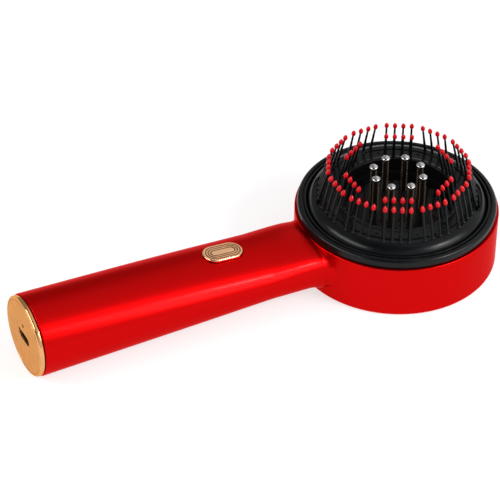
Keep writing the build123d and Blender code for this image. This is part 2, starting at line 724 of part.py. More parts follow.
def bristle_tip(length):
    """A red drop, round below and pointed above, socketed on the bristle's end."""
    foot_r = BRISTLE_END_R + TIP_FOOT_WALL
    drop = drop_turned(foot_r, -TIP_BELOW, TIP_R, -TIP_WIDEST_DOWN, TIP_ABOVE, TIP_SIDE)
    socket = disc(BRISTLE_END_R + FIT_GAP, -TIP_BELOW - THROUGH, TIP_SOCKET_DEPTH - TIP_BELOW)
    return Pos(0, 0, length) * (drop - socket)


def outer_bristles():
    one = bristle(outer_length())
    return group(frame * one for frame in outer_frames())


def outer_bristle_tips():
    one = bristle_tip(outer_length())
    return group(frame * one for frame in outer_frames())


def inner_bristles():
    one = bristle(inner_length())
    return group(frame * one for frame in inner_frames())


def inner_bristle_tips():
    one = bristle_tip(inner_length())
    return group(frame * one for frame in inner_frames())


# ---- Window, columns and LED board ----

def column_places():
    return around(COLUMN_COUNT, COLUMN_AT_R)


def lens_gasket():
    low = LENS_LEDGE_Z + GASKET_GAP
    return ring(WINDOW_OPENING_R + GASKET_IN, LENS_R - GASKET_IN, low, low + GASKET_T)


def window_lens():
    top = LENS_BOTTOM_Z + LENS_T
    hole = disc(COLUMN_R + COLUMN_CLEAR, LENS_BOTTOM_Z - THROUGH, top + THROUGH)
    return disc(LENS_R, LENS_BOTTOM_Z, top) - [place * hole for place in column_places()]


def light_columns():
    one = ring(PIN_R + PIN_CLEAR, COLUMN_R, CARRIER_BOTTOM_Z, COLUMN_TOP_Z)
    return group(place * one for place in column_places())


def contact_pins():
    one = disc(PIN_R, LED_BOARD_BOTTOM_Z - PIN_TAIL, COLUMN_TOP_Z + CAP_PIN_DEPTH - FIT_GAP)
    return group(place * one for place in column_places())


def contact_caps():
    """Low domes with a narrower flat foot, bored from below for their pins."""
    low = COLUMN_TOP_Z
    dome = drop_turned(CAP_FOOT_R, low, CAP_R, low + CAP_WIDEST_UP, low + CAP_H, CAP_SIDE)
    one = dome - disc(PIN_R + PIN_CLEAR, low - THROUGH, low + CAP_PIN_DEPTH)
    return group(place * one for place in column_places())


def led_board():
    part = disc(TURRET_OUT_R, LED_BOARD_BOTTOM_Z, CARRIER_BOTTOM_Z)
    pin_hole = disc(PIN_R + PIN_CLEAR, LED_BOARD_BOTTOM_Z - THROUGH, CARRIER_BOTTOM_Z + THROUGH)
    screw_hole = Pos(0, 0, CARRIER_BOTTOM_Z) * passing_hole(LED_SCREW_R, BOARD_T)
    part -= [place * pin_hole for place in column_places()]
    return part - [place * screw_hole for place in led_screw_places()]


def red_leds():
    half = LED_SIZE / 2
    one = block(-half, half, -half, half, CARRIER_BOTTOM_Z, CARRIER_BOTTOM_Z + LED_H)
    places = around(LED_OUTER_COUNT, LED_OUTER_R, 180 / LED_OUTER_COUNT)
    places += around(LED_INNER_COUNT, LED_INNER_R)
    return group(place * one for place in places)


def led_board_screws():
    one = Rot(180, 0, 0) * screw(LED_SCREW_R, BOARD_T + LED_SCREW_BITE)
    return group(place * Pos(0, 0, LED_BOARD_BOTTOM_Z) * one for place in led_screw_places())


# ---- Vibration motor ----

def along_y(y):
    """A frame on the motor's axis at y, with Z along +Y and Y down."""
    return Plane(origin=(0, y, MOTOR_Z), x_dir=(1, 0, 0), z_dir=(0, 1, 0))


def motor_tube(r_in, r_out, y_low, y_high):
    return along_y(y_low) * ring(r_in, r_out, 0, y_high - y_low)


def magnet_out_r():
    return MOTOR_R - MOTOR_WALL - FIT_GAP


def motor_can():
    front = -MOTOR_HALF_L
    wall = motor_tube(MOTOR_R - MOTOR_WALL, MOTOR_R, front, MOTOR_HALF_L)
    return wall + motor_tube(BUSH_R + FIT_GAP, MOTOR_R, front, front + MOTOR_WALL)


def motor_end_bell():
    bore_r = BUSH_R + FIT_GAP
    plug = motor_tube(bore_r, magnet_out_r(), MOTOR_HALF_L - BELL_PLUG, MOTOR_HALF_L)
    return plug + motor_tube(bore_r, MOTOR_R, MOTOR_HALF_L, MOTOR_HALF_L + BELL_T)


def motor_bushes():
    front_y = -MOTOR_HALF_L - BUSH_PROUD
    rear_y = MOTOR_HALF_L + BELL_T - BUSH_PROUD - BUSH_L
    bore_r = SHAFT_R + SHAFT_CLEAR
    return group(motor_tube(bore_r, BUSH_R, y, y + BUSH_L) for y in (front_y, rear_y))


def motor_magnets():
    r_out = magnet_out_r()
    r_in = r_out - MAGNET_T
    length = 2 * MAGNET_HALF_L
    outline = Polygon((r_in, 0), (r_out, 0), (r_out, length), (r_in, length), align=None)
    arc = revolve(Plane.XZ * outline, axis=Axis.Z, revolution_arc=MAGNET_SPAN)
    frame = along_y(-MAGNET_HALF_L)
    return group(frame * Rot(0, 0, turn - MAGNET_SPAN / 2) * arc for turn in (0, 180))


def motor_armature():
    """A slotted core on the shaft, turning inside the magnets."""
    out_r = magnet_out_r() - MAGNET_T - AIR_GAP
    length = 2 * ARMATURE_HALF_L
    half_w = ARMATURE_SLOT_W / 2
    core = ring(SHAFT_R + PRESS_CLEAR, out_r, 0, length)
    slot = block(out_r / 2, out_r + THROUGH, -half_w, half_w, -THROUGH, length + THROUGH)
    core -= [place * slot for place in around(ARMATURE_SLOTS, 0)]
    return along_y(-ARMATURE_HALF_L) * core


def motor_shaft():
    return motor_tube(0, SHAFT_R, -MOTOR_HALF_L - SHAFT_NOSE, MOTOR_HALF_L + SHAFT_TAIL)


def eccentric_weight():
    """A half disc pressed on the shaft's nose, hanging down at rest."""
    radius = MOTOR_R - WEIGHT_INSIDE
    bore_r = SHAFT_R + PRESS_CLEAR
    hub = ring(bore_r, 2 * SHAFT_R, 0, WEIGHT_T)
    half = disc(radius, 0, WEIGHT_T) & block(-radius, radius, 0, radius, 0, WEIGHT_T)
    half -= disc(bore_r, -THROUGH, WEIGHT_T + THROUGH)
    return along_y(-MOTOR_HALF_L - SHAFT_NOSE + WEIGHT_FROM_END) * (hub + half)


def motor_sleeve():
    return motor_tube(MOTOR_R + FIT_GAP, SLEEVE_OUT_R, -SLEEVE_HALF_L, SLEEVE_HALF_L)


def motor_clamp():
    """A strap over the sleeve with an ear on each side."""
    half_w = CLAMP_HALF_W
    ear_x = CLAMP_BOSS_X + CLAMP_BOSS_R
    ear_top = CLAMP_BOSS_TOP_Z + CLAMP_EAR_T
    strap = motor_tube(0, CLAMP_OUT_R, -half_w, half_w)
    strap &= block(-CLAMP_OUT_R, CLAMP_OUT_R, -half_w, half_w, MOTOR_Z, MOTOR_Z + CLAMP_OUT_R)
    strap += block(-CLAMP_OUT_R, CLAMP_OUT_R, -half_w, half_w, CLAMP_BOSS_TOP_Z, MOTOR_Z)
    strap += block(-ear_x, ear_x, -half_w, half_w, CLAMP_BOSS_TOP_Z, ear_top)
    strap -= motor_tube(0, CLAMP_IN_R, -half_w - THROUGH, half_w + THROUGH)
    hole = Pos(0, 0, ear_top) * passing_hole(CLAMP_SCREW_R, CLAMP_EAR_T)
    return strap - [place * hole for place in at_ends(CLAMP_BOSS_X)]


def clamp_screws():
    one = screw(CLAMP_SCREW_R, CLAMP_EAR_T + CLAMP_SCREW_BITE - CLAMP_PILOT_SPARE)
    one = Pos(0, 0, CLAMP_BOSS_TOP_Z + CLAMP_EAR_T) * one
    return group(place * one for place in at_ends(CLAMP_BOSS_X))


# ---- Power button and control board ----

def power_button():
    """A stadium cap with fine grooves, a retaining flange and a stem to the switch."""
    flange_top = POCKET_CEILING - FLANGE_GAP
    stem_top = flange_top - FLANGE_T
    cap = stadium(BUTTON_L, BUTTON_W, flange_top, BUTTON_PROUD)
    cap = chamfer(cap.faces().sort_by(Axis.Z)[-1].edges(), BUTTON_CHAMFER)
    floor = BUTTON_PROUD - BUTTON_GROOVE_DEPTH
    top = BUTTON_PROUD + THROUGH
    for inset in BUTTON_GROOVES_IN:
        outer = 2 * inset
        inner = outer + 2 * BUTTON_GROOVE_W
        cap -= (stadium(BUTTON_L - outer, BUTTON_W - outer, floor, top)
                - stadium(BUTTON_L - inner, BUTTON_W - inner, floor, top))
    over = 2 * FLANGE_OVER
    flange = stadium(BUTTON_L + over, BUTTON_W + over, stem_top, flange_top)
    return button_frame() * (cap + flange + disc(STEM_R, stem_top - STEM_L, stem_top))


def tact_switch():
    half = SWITCH_SIZE / 2
    body = block(-half, half, -half, half, CONTROL_TOP, SWITCH_TOP)
    body = fillet(body.edges().filter_by(Axis.Z), SWITCH_CORNER)
    well_floor = SWITCH_TOP - PLUNGER_SUNK - BUTTON_TRAVEL - PLUNGER_SPARE
    well = disc(PLUNGER_R + PLUNGER_CLEAR, well_floor, SWITCH_TOP + THROUGH)
    return button_frame() * (body - well)


def tact_plunger():
    return button_frame() * disc(PLUNGER_R, SWITCH_TOP - PLUNGER_SUNK, SWITCH_TOP + PLUNGER_PROUD)


def control_post_places():
    return at_corners(CONTROL_L / 2 - CONTROL_POST_IN_X, CONTROL_W / 2 - CONTROL_POST_IN_Y)


def control_board():
    half_l = CONTROL_L / 2
    half_w = CONTROL_W / 2
    part = block(-half_l, half_l, -half_w, half_w, CONTROL_BOTTOM, CONTROL_TOP)
    hole = Pos(0, 0, CONTROL_TOP) * passing_hole(CONTROL_SCREW_R, CONTROL_T)
    return button_frame() * (part - [place * hole for place in control_post_places()])


def control_screws():
    one = Pos(0, 0, CONTROL_TOP) * screw(CONTROL_SCREW_R, CONTROL_T + CONTROL_SCREW_BITE)
    return group(button_frame() * place * one for place in control_post_places())


def chip(x, y, length, width, height):
    return Pos(x, y, CONTROL_TOP) * Box(length, width, height, align=FROM_BOTTOM)


def control_chips():
    """Controller, motor driver, charge coil and a capacitor on the board's top."""
    coil = Pos(COIL_X, COIL_Y, 0) * disc(COIL_R, CONTROL_TOP, CONTROL_TOP + COIL_H)
    chips = [chip(*sizes) for sizes in CHIPS]
    return group(button_frame() * solid for solid in chips + [coil])


def lead_sockets():
    """A white socket at each end of the board."""
    middle_x = CONTROL_L / 2 - SOCKET_EDGE - SOCKET_L / 2
    one = chip(0, 0, SOCKET_L, SOCKET_W, SOCKET_H)
    return group(button_frame() * place * one for place in at_ends(middle_x))


# ---- Handle chassis, battery and charging ----

def rear_wall(s_low, thickness):
    """A rounded plate across the handle, for the chassis end and its board."""
    width = 2 * (TRAY_HALF_W + REAR_WALL_BESIDE_TRAY)
    outline = RectangleRounded(width, REAR_WALL_H, REAR_WALL_CORNER)
    return along_x(s_low, 0, SLOT_Z) * extrude(outline, thickness)


def chassis_screw_places(s):
    """Frames with Z towards the battery, so that a screw there points at the end cap."""
    z = SLOT_Z - CHASSIS_BOSS_DROP
    return [along_x(s, side * CHASSIS_BOSS_Y, z) * Rot(180, 0, 0) for side in (-1, 1)]


def tray_block(s_low, s_high, half_w, z_low, z_high):
    return block(-s_high, -s_low, -half_w, half_w, z_low, z_high)


def keel(s):
    low = handle_bottom_z(s) + WALL + KEEL_CLEAR
    return tray_block(s - KEEL_T / 2, s + KEEL_T / 2, KEEL_HALF_W, low, TRAY_TOP_Z)


def control_posts():
    above_tray = tray_block(0, CAP_FACE_S, TRAY_HALF_W, TRAY_BOTTOM_Z + TRAY_T / 2, DRUM_H)
    post = disc(CONTROL_POST_R, CONTROL_BOTTOM - DRUM_H, CONTROL_BOTTOM)
    post -= Pos(0, 0, CONTROL_BOTTOM) * pilot(CONTROL_SCREW_R, CONTROL_SCREW_BITE)
    return [(button_frame() * place * post) & above_tray for place in control_post_places()]


def cell_saddles():
    bed = along_x(CELL_FRONT_S, 0, CELL_Z) * disc(CELL_R + CELL_CLEAR, 0, CELL_L)
    saddles = []
    for s in (CELL_FRONT_S + SADDLE_FROM_ENDS, CELL_FRONT_S + CELL_L - SADDLE_FROM_ENDS):
        saddle = tray_block(s - SADDLE_T / 2, s + SADDLE_T / 2, TRAY_HALF_W, TRAY_BOTTOM_Z, CELL_Z)
        saddles.append(saddle - bed)
    return saddles


def rear_lead_place(s):
    """Where the charge leads pass the rear wall, beside and above the cell."""
    return along_x(s, TRAY_HALF_W, CELL_Z + CONTACT_H - LEAD_R)


def handle_chassis():
    """The tray that slides into the handle with the battery and both boards."""
    part = tray_block(TRAY_FRONT_S, REAR_WALL_S + REAR_WALL_T, TRAY_HALF_W, TRAY_BOTTOM_Z, TRAY_TOP_Z)
    front_wall = tray_block(FRONT_CONTACT_S - FRONT_WALL_T, FRONT_CONTACT_S, FRONT_WALL_HALF_W,
                            TRAY_BOTTOM_Z, CELL_Z + CONTACT_H / 2)
    keels = [keel(TRAY_FRONT_S + s) for s in KEEL_FROM_FRONT] + [keel(REAR_WALL_S - KEEL_FROM_REAR)]
    part += [front_wall, rear_wall(REAR_WALL_S, REAR_WALL_T)]
    part += keels + cell_saddles() + control_posts()
    part -= along_x(FRONT_CONTACT_S, 0, CELL_Z) * Cylinder(2 * LEAD_R, 3 * FRONT_WALL_T)
    part -= rear_lead_place(REAR_WALL_S) * disc(LEAD_HOLE_R, -THROUGH, REAR_WALL_T + THROUGH)
    hole = passing_hole(CHASSIS_SCREW_R, REAR_WALL_T)
    return part - [place * hole for place in chassis_screw_places(REAR_WALL_S)]


def battery_cell():
    """Round cell with a narrower contact nub at the end towards the drum."""
    frame = along_x(CELL_FRONT_S, 0, CELL_Z)
    can = disc(CELL_R, CELL_NUB_H, CELL_L)
    can = fillet(can.edges().filter_by(GeomType.CIRCLE), CELL_EDGE_FILLET)
    return frame * (can + disc(CELL_NUB_R, 0, CELL_L / 2))


def contact_half_w():
    return CELL_R + CONTACT_TAB


def battery_contacts():
    """Two sprung plates; the rear one is wide enough for its lead to pass the cell."""
    low = CELL_Z - CONTACT_H / 2
    high = CELL_Z + CONTACT_H / 2
    front = tray_block(FRONT_CONTACT_S, FRONT_CONTACT_S + CONTACT_T, FRONT_WALL_HALF_W, low, high)
    rear = tray_block(REAR_CONTACT_S, REAR_CONTACT_S + CONTACT_T, contact_half_w(), low, high)
    return group([front, rear])


def charge_board():
    hole = passing_hole(CHASSIS_SCREW_R, CHARGE_BOARD_T)
    part = rear_wall(CHARGE_BOARD_S, CHARGE_BOARD_T)
    return part - [place * hole for place in chassis_screw_places(CHARGE_BOARD_S)]


def chassis_screws():
    """From the battery side through the wall and board into the cap's bosses."""
    one = screw(CHASSIS_SCREW_R, REAR_WALL_T + CHARGE_BOARD_T + CHASSIS_SCREW_BITE)
    return group(place * one for place in chassis_screw_places(REAR_WALL_S))


def plug_outline(inset):
    """The handle's inside where the cap's plug starts, moved in by inset."""
    s = HANDLE_END_S - CAP_PLUG_L
    total = WALL + CAP_PLUG_CLEAR + inset
    return Ellipse(handle_half_width(s) - total, between_stations(s, HANDLE_HALF_H) - total)


def plug_plane(s):
    return along_x(s, 0, between_stations(HANDLE_END_S - CAP_PLUG_L, HANDLE_MID_Z))


def cap_plug():
    s = HANDLE_END_S - CAP_PLUG_L
    return plug_plane(s) * extrude(plug_outline(0) - plug_outline(CAP_SHELL_T), CAP_INNER_S - s)


def seal_band(outer_inset, inner_inset, half_length):
    outline = plug_outline(outer_inset) - plug_outline(inner_inset)
    return plug_plane(HANDLE_END_S - SEAL_FROM_END) * extrude(outline, half_length, both=True)


def end_cap_seal():
    """A rubber ring in the plug's groove, flush with the plug."""
    return seal_band(FIT_GAP, 2 * SEAL_SECTION_R - FIT_GAP, SEAL_SECTION_R)


def cap_bosses():
    length = CAP_INNER_S - BOSS_END_S
    boss = disc(CHASSIS_BOSS_R, -length, 0) - pilot(CHASSIS_SCREW_R, CHASSIS_SCREW_BITE)
    return [place * boss for place in chassis_screw_places(BOSS_END_S)]


def end_cap():
    """A domed-edge face with a hollow plug, the charging slot and the light's hole."""
    thickness = CAP_FACE_S - CAP_INNER_S
    face = along_x(CAP_INNER_S, 0, SLOT_Z) * extrude(Ellipse(CAP_HALF_W, CAP_HALF_H), thickness)
    face = fillet(face.faces().sort_by(Axis.X)[0].edges(), CAP_FILLET)
    part = face + cap_plug() + cap_bosses()
    part -= seal_band(-THROUGH, 2 * SEAL_SECTION_R, SEAL_SECTION_R + SEAL_GROOVE_SPARE)
    start = along_x(CAP_INNER_S - THROUGH, 0, SLOT_Z)
    depth = thickness + 2 * THROUGH
    light_hole = disc(LIGHT_PIPE_R + LIGHT_PIPE_CLEAR, 0, depth)
    part -= start * stadium(SLOT_L, SLOT_H, 0, depth)
    return part - start * Pos(0, LIGHT_ABOVE_SLOT, 0) * light_hole


def usb_shell():
    length = USB_MOUTH_S - BOSS_END_S
    inner = 2 * USB_WALL
    outer = stadium(USB_L, USB_H, 0, length)
    hollow = stadium(USB_L - inner, USB_H - inner, -THROUGH, length + THROUGH)
    return along_x(BOSS_END_S, 0, SLOT_Z) * (outer - hollow)


def usb_tongue():
    """The insulator that fills the shell's back and carries the contacts."""
    inset = 2 * (USB_WALL + FIT_GAP)
    back = stadium(USB_L - inset, USB_H - inset, 0, USB_BACK_T)
    blade_l = USB_MOUTH_S - BOSS_END_S - TONGUE_SHORT
    blade = Box(TONGUE_W, TONGUE_T, blade_l, align=FROM_BOTTOM)
    return along_x(BOSS_END_S, 0, SLOT_Z) * (back + blade)


def charge_led():
    place = along_x(BOSS_END_S, 0, SLOT_Z + LIGHT_ABOVE_SLOT)
    return place * Box(CHARGE_LED_SIZE, CHARGE_LED_SIZE, CHARGE_LED_T, align=FROM_BOTTOM)


def charge_light_pipe():
    start_s = BOSS_END_S + CHARGE_LED_T + FIT_GAP
    pipe = disc(LIGHT_PIPE_R, 0, CAP_FACE_S - FIT_GAP - start_s)
    return along_x(start_s, 0, SLOT_Z + LIGHT_ABOVE_SLOT) * pipe


# ---- Leads ----

def lead(points):
    """A wire along straight runs joined by tangent arcs."""
    corners = [Vector(*p) for p in points]
    radii = []
    for before, corner, after in zip(corners, corners[1:], corners[2:]):
        run_in = corner - before
        run_out = after - corner
        half_turn = math.radians(run_in.get_angle(run_out)) / 2
        radii.append(LEAD_BEND * min(run_in.length, run_out.length) / math.tan(half_turn))
    path = FilletPolyline(*corners, radius=radii)
    return sweep(path.location_at(0) * Circle(LEAD_R), path=path)


def socket_run(side, place, *distances):
    """Points straight out of a board socket; side is 1 towards the drum."""
    frame = button_frame()
    face_x = CONTROL_L / 2 - SOCKET_EDGE
    y = place * LEAD_PITCH
    z = CONTROL_TOP + SOCKET_H / 2
    local = [Vector(side * (face_x + distance), y, z) for distance in distances]
    return [tuple(frame.from_local_coords(point)) for point in local]


def motor_leads():
    """From the end bell round the motor and through the neck to the front socket."""
    y_face = MOTOR_HALF_L + BELL_T
    leads = []
    for side in (-1, 1):
        shift = side * LEAD_PITCH / 2
        leads.append(lead([
            (-3.2 - shift, y_face, MOTOR_Z),
            (-3.2 - shift, y_face + 4.5 + shift, MOTOR_Z),
            (-14, y_face + 6.5 + shift, MOTOR_Z),
            (-31, 10.5 + shift, MOTOR_Z + 0.5),
            (7 - TRAY_FRONT_S, 3.0 + shift, MOTOR_Z + 6.5),
            *socket_run(1, 1 + side / 2, 6, 0)]))
    return group(leads)


def led_leads():
    """From the LED board's underside through the neck to the front socket."""
    leads = []
    for side in (-1, 1):
        y = -3.5 + side * LEAD_PITCH / 2
        leads.append(lead([
            (-19, y, LED_BOARD_BOTTOM_Z),
            (-19, y, LED_BOARD_BOTTOM_Z - 3.6),
            (-27, y, LED_BOARD_BOTTOM_Z - 4.2),
            (10 - TRAY_FRONT_S, y + 0.8, LED_BOARD_BOTTOM_Z - 1.5),
            *socket_run(1, -1 + side / 2, 6, 0)]))
    return group(leads)


def front_battery_lead():
    """From the front contact through its wall and up to the rear socket."""
    return lead([
        (-FRONT_CONTACT_S, 0, CELL_Z),
        (-FRONT_CONTACT_S + 3.6, 0, CELL_Z),
        *socket_run(-1, -0.5, 3.6, 0)])


def rear_battery_lead():
    """From the rear contact's tab along the cell's side to the rear socket."""
    tab_y = -contact_half_w() + LEAD_R
    side_y = -CELL_R - LEAD_BESIDE_CELL + LEAD_R
    return lead([
        (-REAR_CONTACT_S, tab_y, CELL_Z - 1.5),
        (-REAR_CONTACT_S + 3.5, tab_y, CELL_Z - 1.5),
        (-REAR_CONTACT_S + 7, side_y, CELL_Z - 1),
        (-FRONT_CONTACT_S - 4, side_y, CELL_Z),
        (-FRONT_CONTACT_S + 3, -CELL_R - 0.5, CELL_Z + 3.5),
        *socket_run(-1, -1.5, 4, 0)])


def battery_leads():
    return group([front_battery_lead(), rear_battery_lead()])


def charge_leads():
    """From the charge board through the rear wall and along the cell's other side."""
    hole = rear_lead_place(0).origin
    side_y = CELL_R + LEAD_BESIDE_CELL
    leads = []
    for side in (-1, 1):
        shift = side * LEAD_PITCH / 2
        slant = shift / math.sqrt(2)
        leads.append(lead([
            (-CHARGE_BOARD_S, hole.Y + slant, hole.Z + slant),
            (-CHARGE_BOARD_S + 5, hole.Y + slant, hole.Z + slant),
            (-CHARGE_BOARD_S + 12, side_y, CELL_Z + 2 + shift),
            (-FRONT_CONTACT_S - 3, side_y, CELL_Z + 1.5 + shift),
            (-FRONT_CONTACT_S + 4, CELL_R + 0.5 + slant, CELL_Z + 4.0 + slant),
            *socket_run(-1, 1 + side / 2, 4, 0)]))
    return group(leads)


PIECES = (
    main_housing, rim_ring, head_carrier, carrier_screws, comb_o_ring,
    comb_plate, outer_bristles, outer_bristle_tips, inner_bristles, inner_bristle_tips,
    lens_gasket, window_lens, light_columns, contact_pins, contact_caps,
    led_board, red_leds, led_board_screws,
    motor_can, motor_end_bell, motor_bushes, motor_magnets, motor_armature, motor_shaft,
    eccentric_weight, motor_sleeve, motor_clamp, clamp_screws,
    power_button, tact_switch, tact_plunger, control_board, control_screws, control_chips,
    lead_sockets, handle_chassis, battery_cell, battery_contacts,
    charge_board, chassis_screws, end_cap, end_cap_seal, usb_shell, usb_tongue,
    charge_led, charge_light_pipe,
    motor_leads, led_leads, battery_leads, charge_leads,
)

os.makedirs("parts", exist_ok=True)
for piece in PIECES:
    export_step(piece(), os.path.join("parts", piece.__name__ + ".step"))
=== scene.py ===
import math

import bmesh
import bpy
import numpy as np
from mathutils import Matrix, Vector


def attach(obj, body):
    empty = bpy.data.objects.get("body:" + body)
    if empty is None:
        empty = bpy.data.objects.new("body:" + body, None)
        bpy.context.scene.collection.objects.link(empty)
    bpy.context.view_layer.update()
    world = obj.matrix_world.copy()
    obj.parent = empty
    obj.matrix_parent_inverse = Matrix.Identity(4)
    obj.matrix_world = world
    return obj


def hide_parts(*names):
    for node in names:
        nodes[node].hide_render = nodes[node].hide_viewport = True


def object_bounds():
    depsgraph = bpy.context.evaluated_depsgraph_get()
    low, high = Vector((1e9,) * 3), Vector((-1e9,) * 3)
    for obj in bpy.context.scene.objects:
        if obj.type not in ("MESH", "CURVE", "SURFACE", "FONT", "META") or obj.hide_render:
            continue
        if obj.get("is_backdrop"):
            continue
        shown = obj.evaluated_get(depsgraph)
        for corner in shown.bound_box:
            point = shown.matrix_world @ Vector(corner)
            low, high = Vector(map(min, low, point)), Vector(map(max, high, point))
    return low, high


# Electric scalp massager. The frame and Blender are in metres; sizes below are in
# millimetres, in the same axes: origin at the centre of the drum's underside, +Z the
# way the bristles point, the handle along -X. "s" is the distance from the drum's
# axis towards -X.

MM = 0.001

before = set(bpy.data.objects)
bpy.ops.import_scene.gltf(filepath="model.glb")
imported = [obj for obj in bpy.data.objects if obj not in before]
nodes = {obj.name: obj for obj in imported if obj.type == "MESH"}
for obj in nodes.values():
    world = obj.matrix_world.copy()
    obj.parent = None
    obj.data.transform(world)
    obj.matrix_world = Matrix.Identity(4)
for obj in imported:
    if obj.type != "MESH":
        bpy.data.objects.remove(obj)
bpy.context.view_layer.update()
scene = bpy.context.scene


# ---- Mesh helpers ----

def mesh_object(name, points, faces):
    """An object from points in millimetres, linked to the scene."""
    mesh = bpy.data.meshes.new(name)
    mesh.from_pydata([(x * MM, y * MM, z * MM) for x, y, z in points], [], faces)
    mesh.validate()
    obj = bpy.data.objects.new(name, mesh)
    scene.collection.objects.link(obj)
    return obj


def rounded(corners, steps=6):
    """An outline through (a, b, radius) corners, with an arc in place of each corner."""
    points = []
    for i, (a, b, radius) in enumerate(corners):
        corner = Vector((a, b))
        if radius <= 0:
            points.append((a, b))
            continue
        before = (Vector(corners[i - 1][:2]) - corner).normalized()
        after = (Vector(corners[(i + 1) % len(corners)][:2]) - corner).normalized()
        half = before.angle(after) / 2
        centre = corner + (before + after).normalized() * (radius / math.sin(half))
        start = corner + before * (radius / math.tan(half)) - centre
        end = corner + after * (radius / math.tan(half)) - centre
        turn = math.atan2(start.x * end.y - start.y * end.x, start.dot(end))
        for k in range(steps + 1):
            spot = centre + Matrix.Rotation(turn * k / steps, 2) @ start
            points.append((spot.x, spot.y))
    return points


def rings_to_faces(counts, closed):
    """Quads between rings of points; a ring of one point is a pole."""
    faces = []
    starts = [sum(counts[:i]) for i in range(len(counts))]
    pairs = [(i, i + 1) for i in range(len(counts) - 1)]
    if closed:
        pairs.append((len(counts) - 1, 0))
    for low, high in pairs:
        n = max(counts[low], counts[high])
        if n == 1:
            continue
        for k in range(n):
            a = starts[low] + (k if counts[low] > 1 else 0)
            b = starts[low] + ((k + 1) % n if counts[low] > 1 else 0)
            c = starts[high] + ((k + 1) % n if counts[high] > 1 else 0)
            d = starts[high] + (k if counts[high] > 1 else 0)
            corner = [a, b, c, d]
            faces.append([v for j, v in enumerate(corner) if v not in corner[:j]])
    return faces


def capped(rings):
    """A solid through rings with the same number of points, closed flat at both ends."""
    counts = [len(ring) for ring in rings]
    last = sum(counts[:-1])
    ends = [list(range(counts[0])), [last + k for k in range(counts[-1])]]
    return [point for ring in rings for point in ring], rings_to_faces(counts, False) + ends


def lathe(outline, segments):
    """A solid: an outline of (radius, z), closed on itself, turned about Z."""
    points, counts = [], []
    for radius, z in outline:
        if radius < 1e-6:
            points.append((0.0, 0.0, z))
            counts.append(1)
            continue
        counts.append(segments)
        for k in range(segments):
            turn = 2 * math.pi * k / segments
            points.append((radius * math.cos(turn), radius * math.sin(turn), z))
    return points, rings_to_faces(counts, True)


def placed(shape, matrix):
    """A shape's points moved by a matrix; a shape is a pair of points and faces."""
    points, faces = shape
    return [tuple(matrix @ Vector(p)) for p in points], faces


def about_z(degrees):
    return Matrix.Rotation(math.radians(degrees), 4, "Z")


def joined(shapes):
    """Several shapes as one."""
    points, faces = [], []
    for some_points, some_faces in shapes:
        base = len(points)
        points += some_points
        faces += [[v + base for v in face] for face in some_faces]
    return points, faces


def outwards(obj):
    """Makes every closed shell's faces look outwards."""
    work = bmesh.new()
    work.from_mesh(obj.data)
    bmesh.ops.recalc_face_normals(work, faces=work.faces)
    work.to_mesh(obj.data)
    work.free()


def carve(obj, cutter, operation):
    """An exact boolean, applied; the cutter is used up."""
    change = obj.modifiers.new("carve", "BOOLEAN")
    change.solver = "EXACT"
    change.operation = operation
    change.object = cutter
    seen = obj.evaluated_get(bpy.context.evaluated_depsgraph_get())
    result = bpy.data.meshes.new_from_object(seen)
    obj.modifiers.clear()
    old = obj.data
    obj.data = result
    bpy.data.meshes.remove(old)
    used = cutter.data
    bpy.data.objects.remove(cutter)
    bpy.data.meshes.remove(used)


def add_mesh(obj, other):
    """Joins another object's closed shells to this one, untouched."""
    work = bmesh.new()
    work.from_mesh(obj.data)
    work.from_mesh(other.data)
    work.to_mesh(obj.data)
    work.free()
    used = other.data
    bpy.data.objects.remove(other)
    bpy.data.meshes.remove(used)


def smooth(obj, angle):
    """Smooth shading with hard edges past the angle, and flat faces that look flat."""
    obj.data.shade_smooth()
    obj.data.set_sharp_from_angle(angle=math.radians(angle))
    even = obj.modifiers.new("even", "WEIGHTED_NORMAL")
    even.keep_sharp = True
    even.weight = 80


def solid(name, shape):
    """An object from a closed shape, its faces turned outwards."""
    obj = mesh_object(name, *shape)
    outwards(obj)
    return obj


# ---- Materials ----

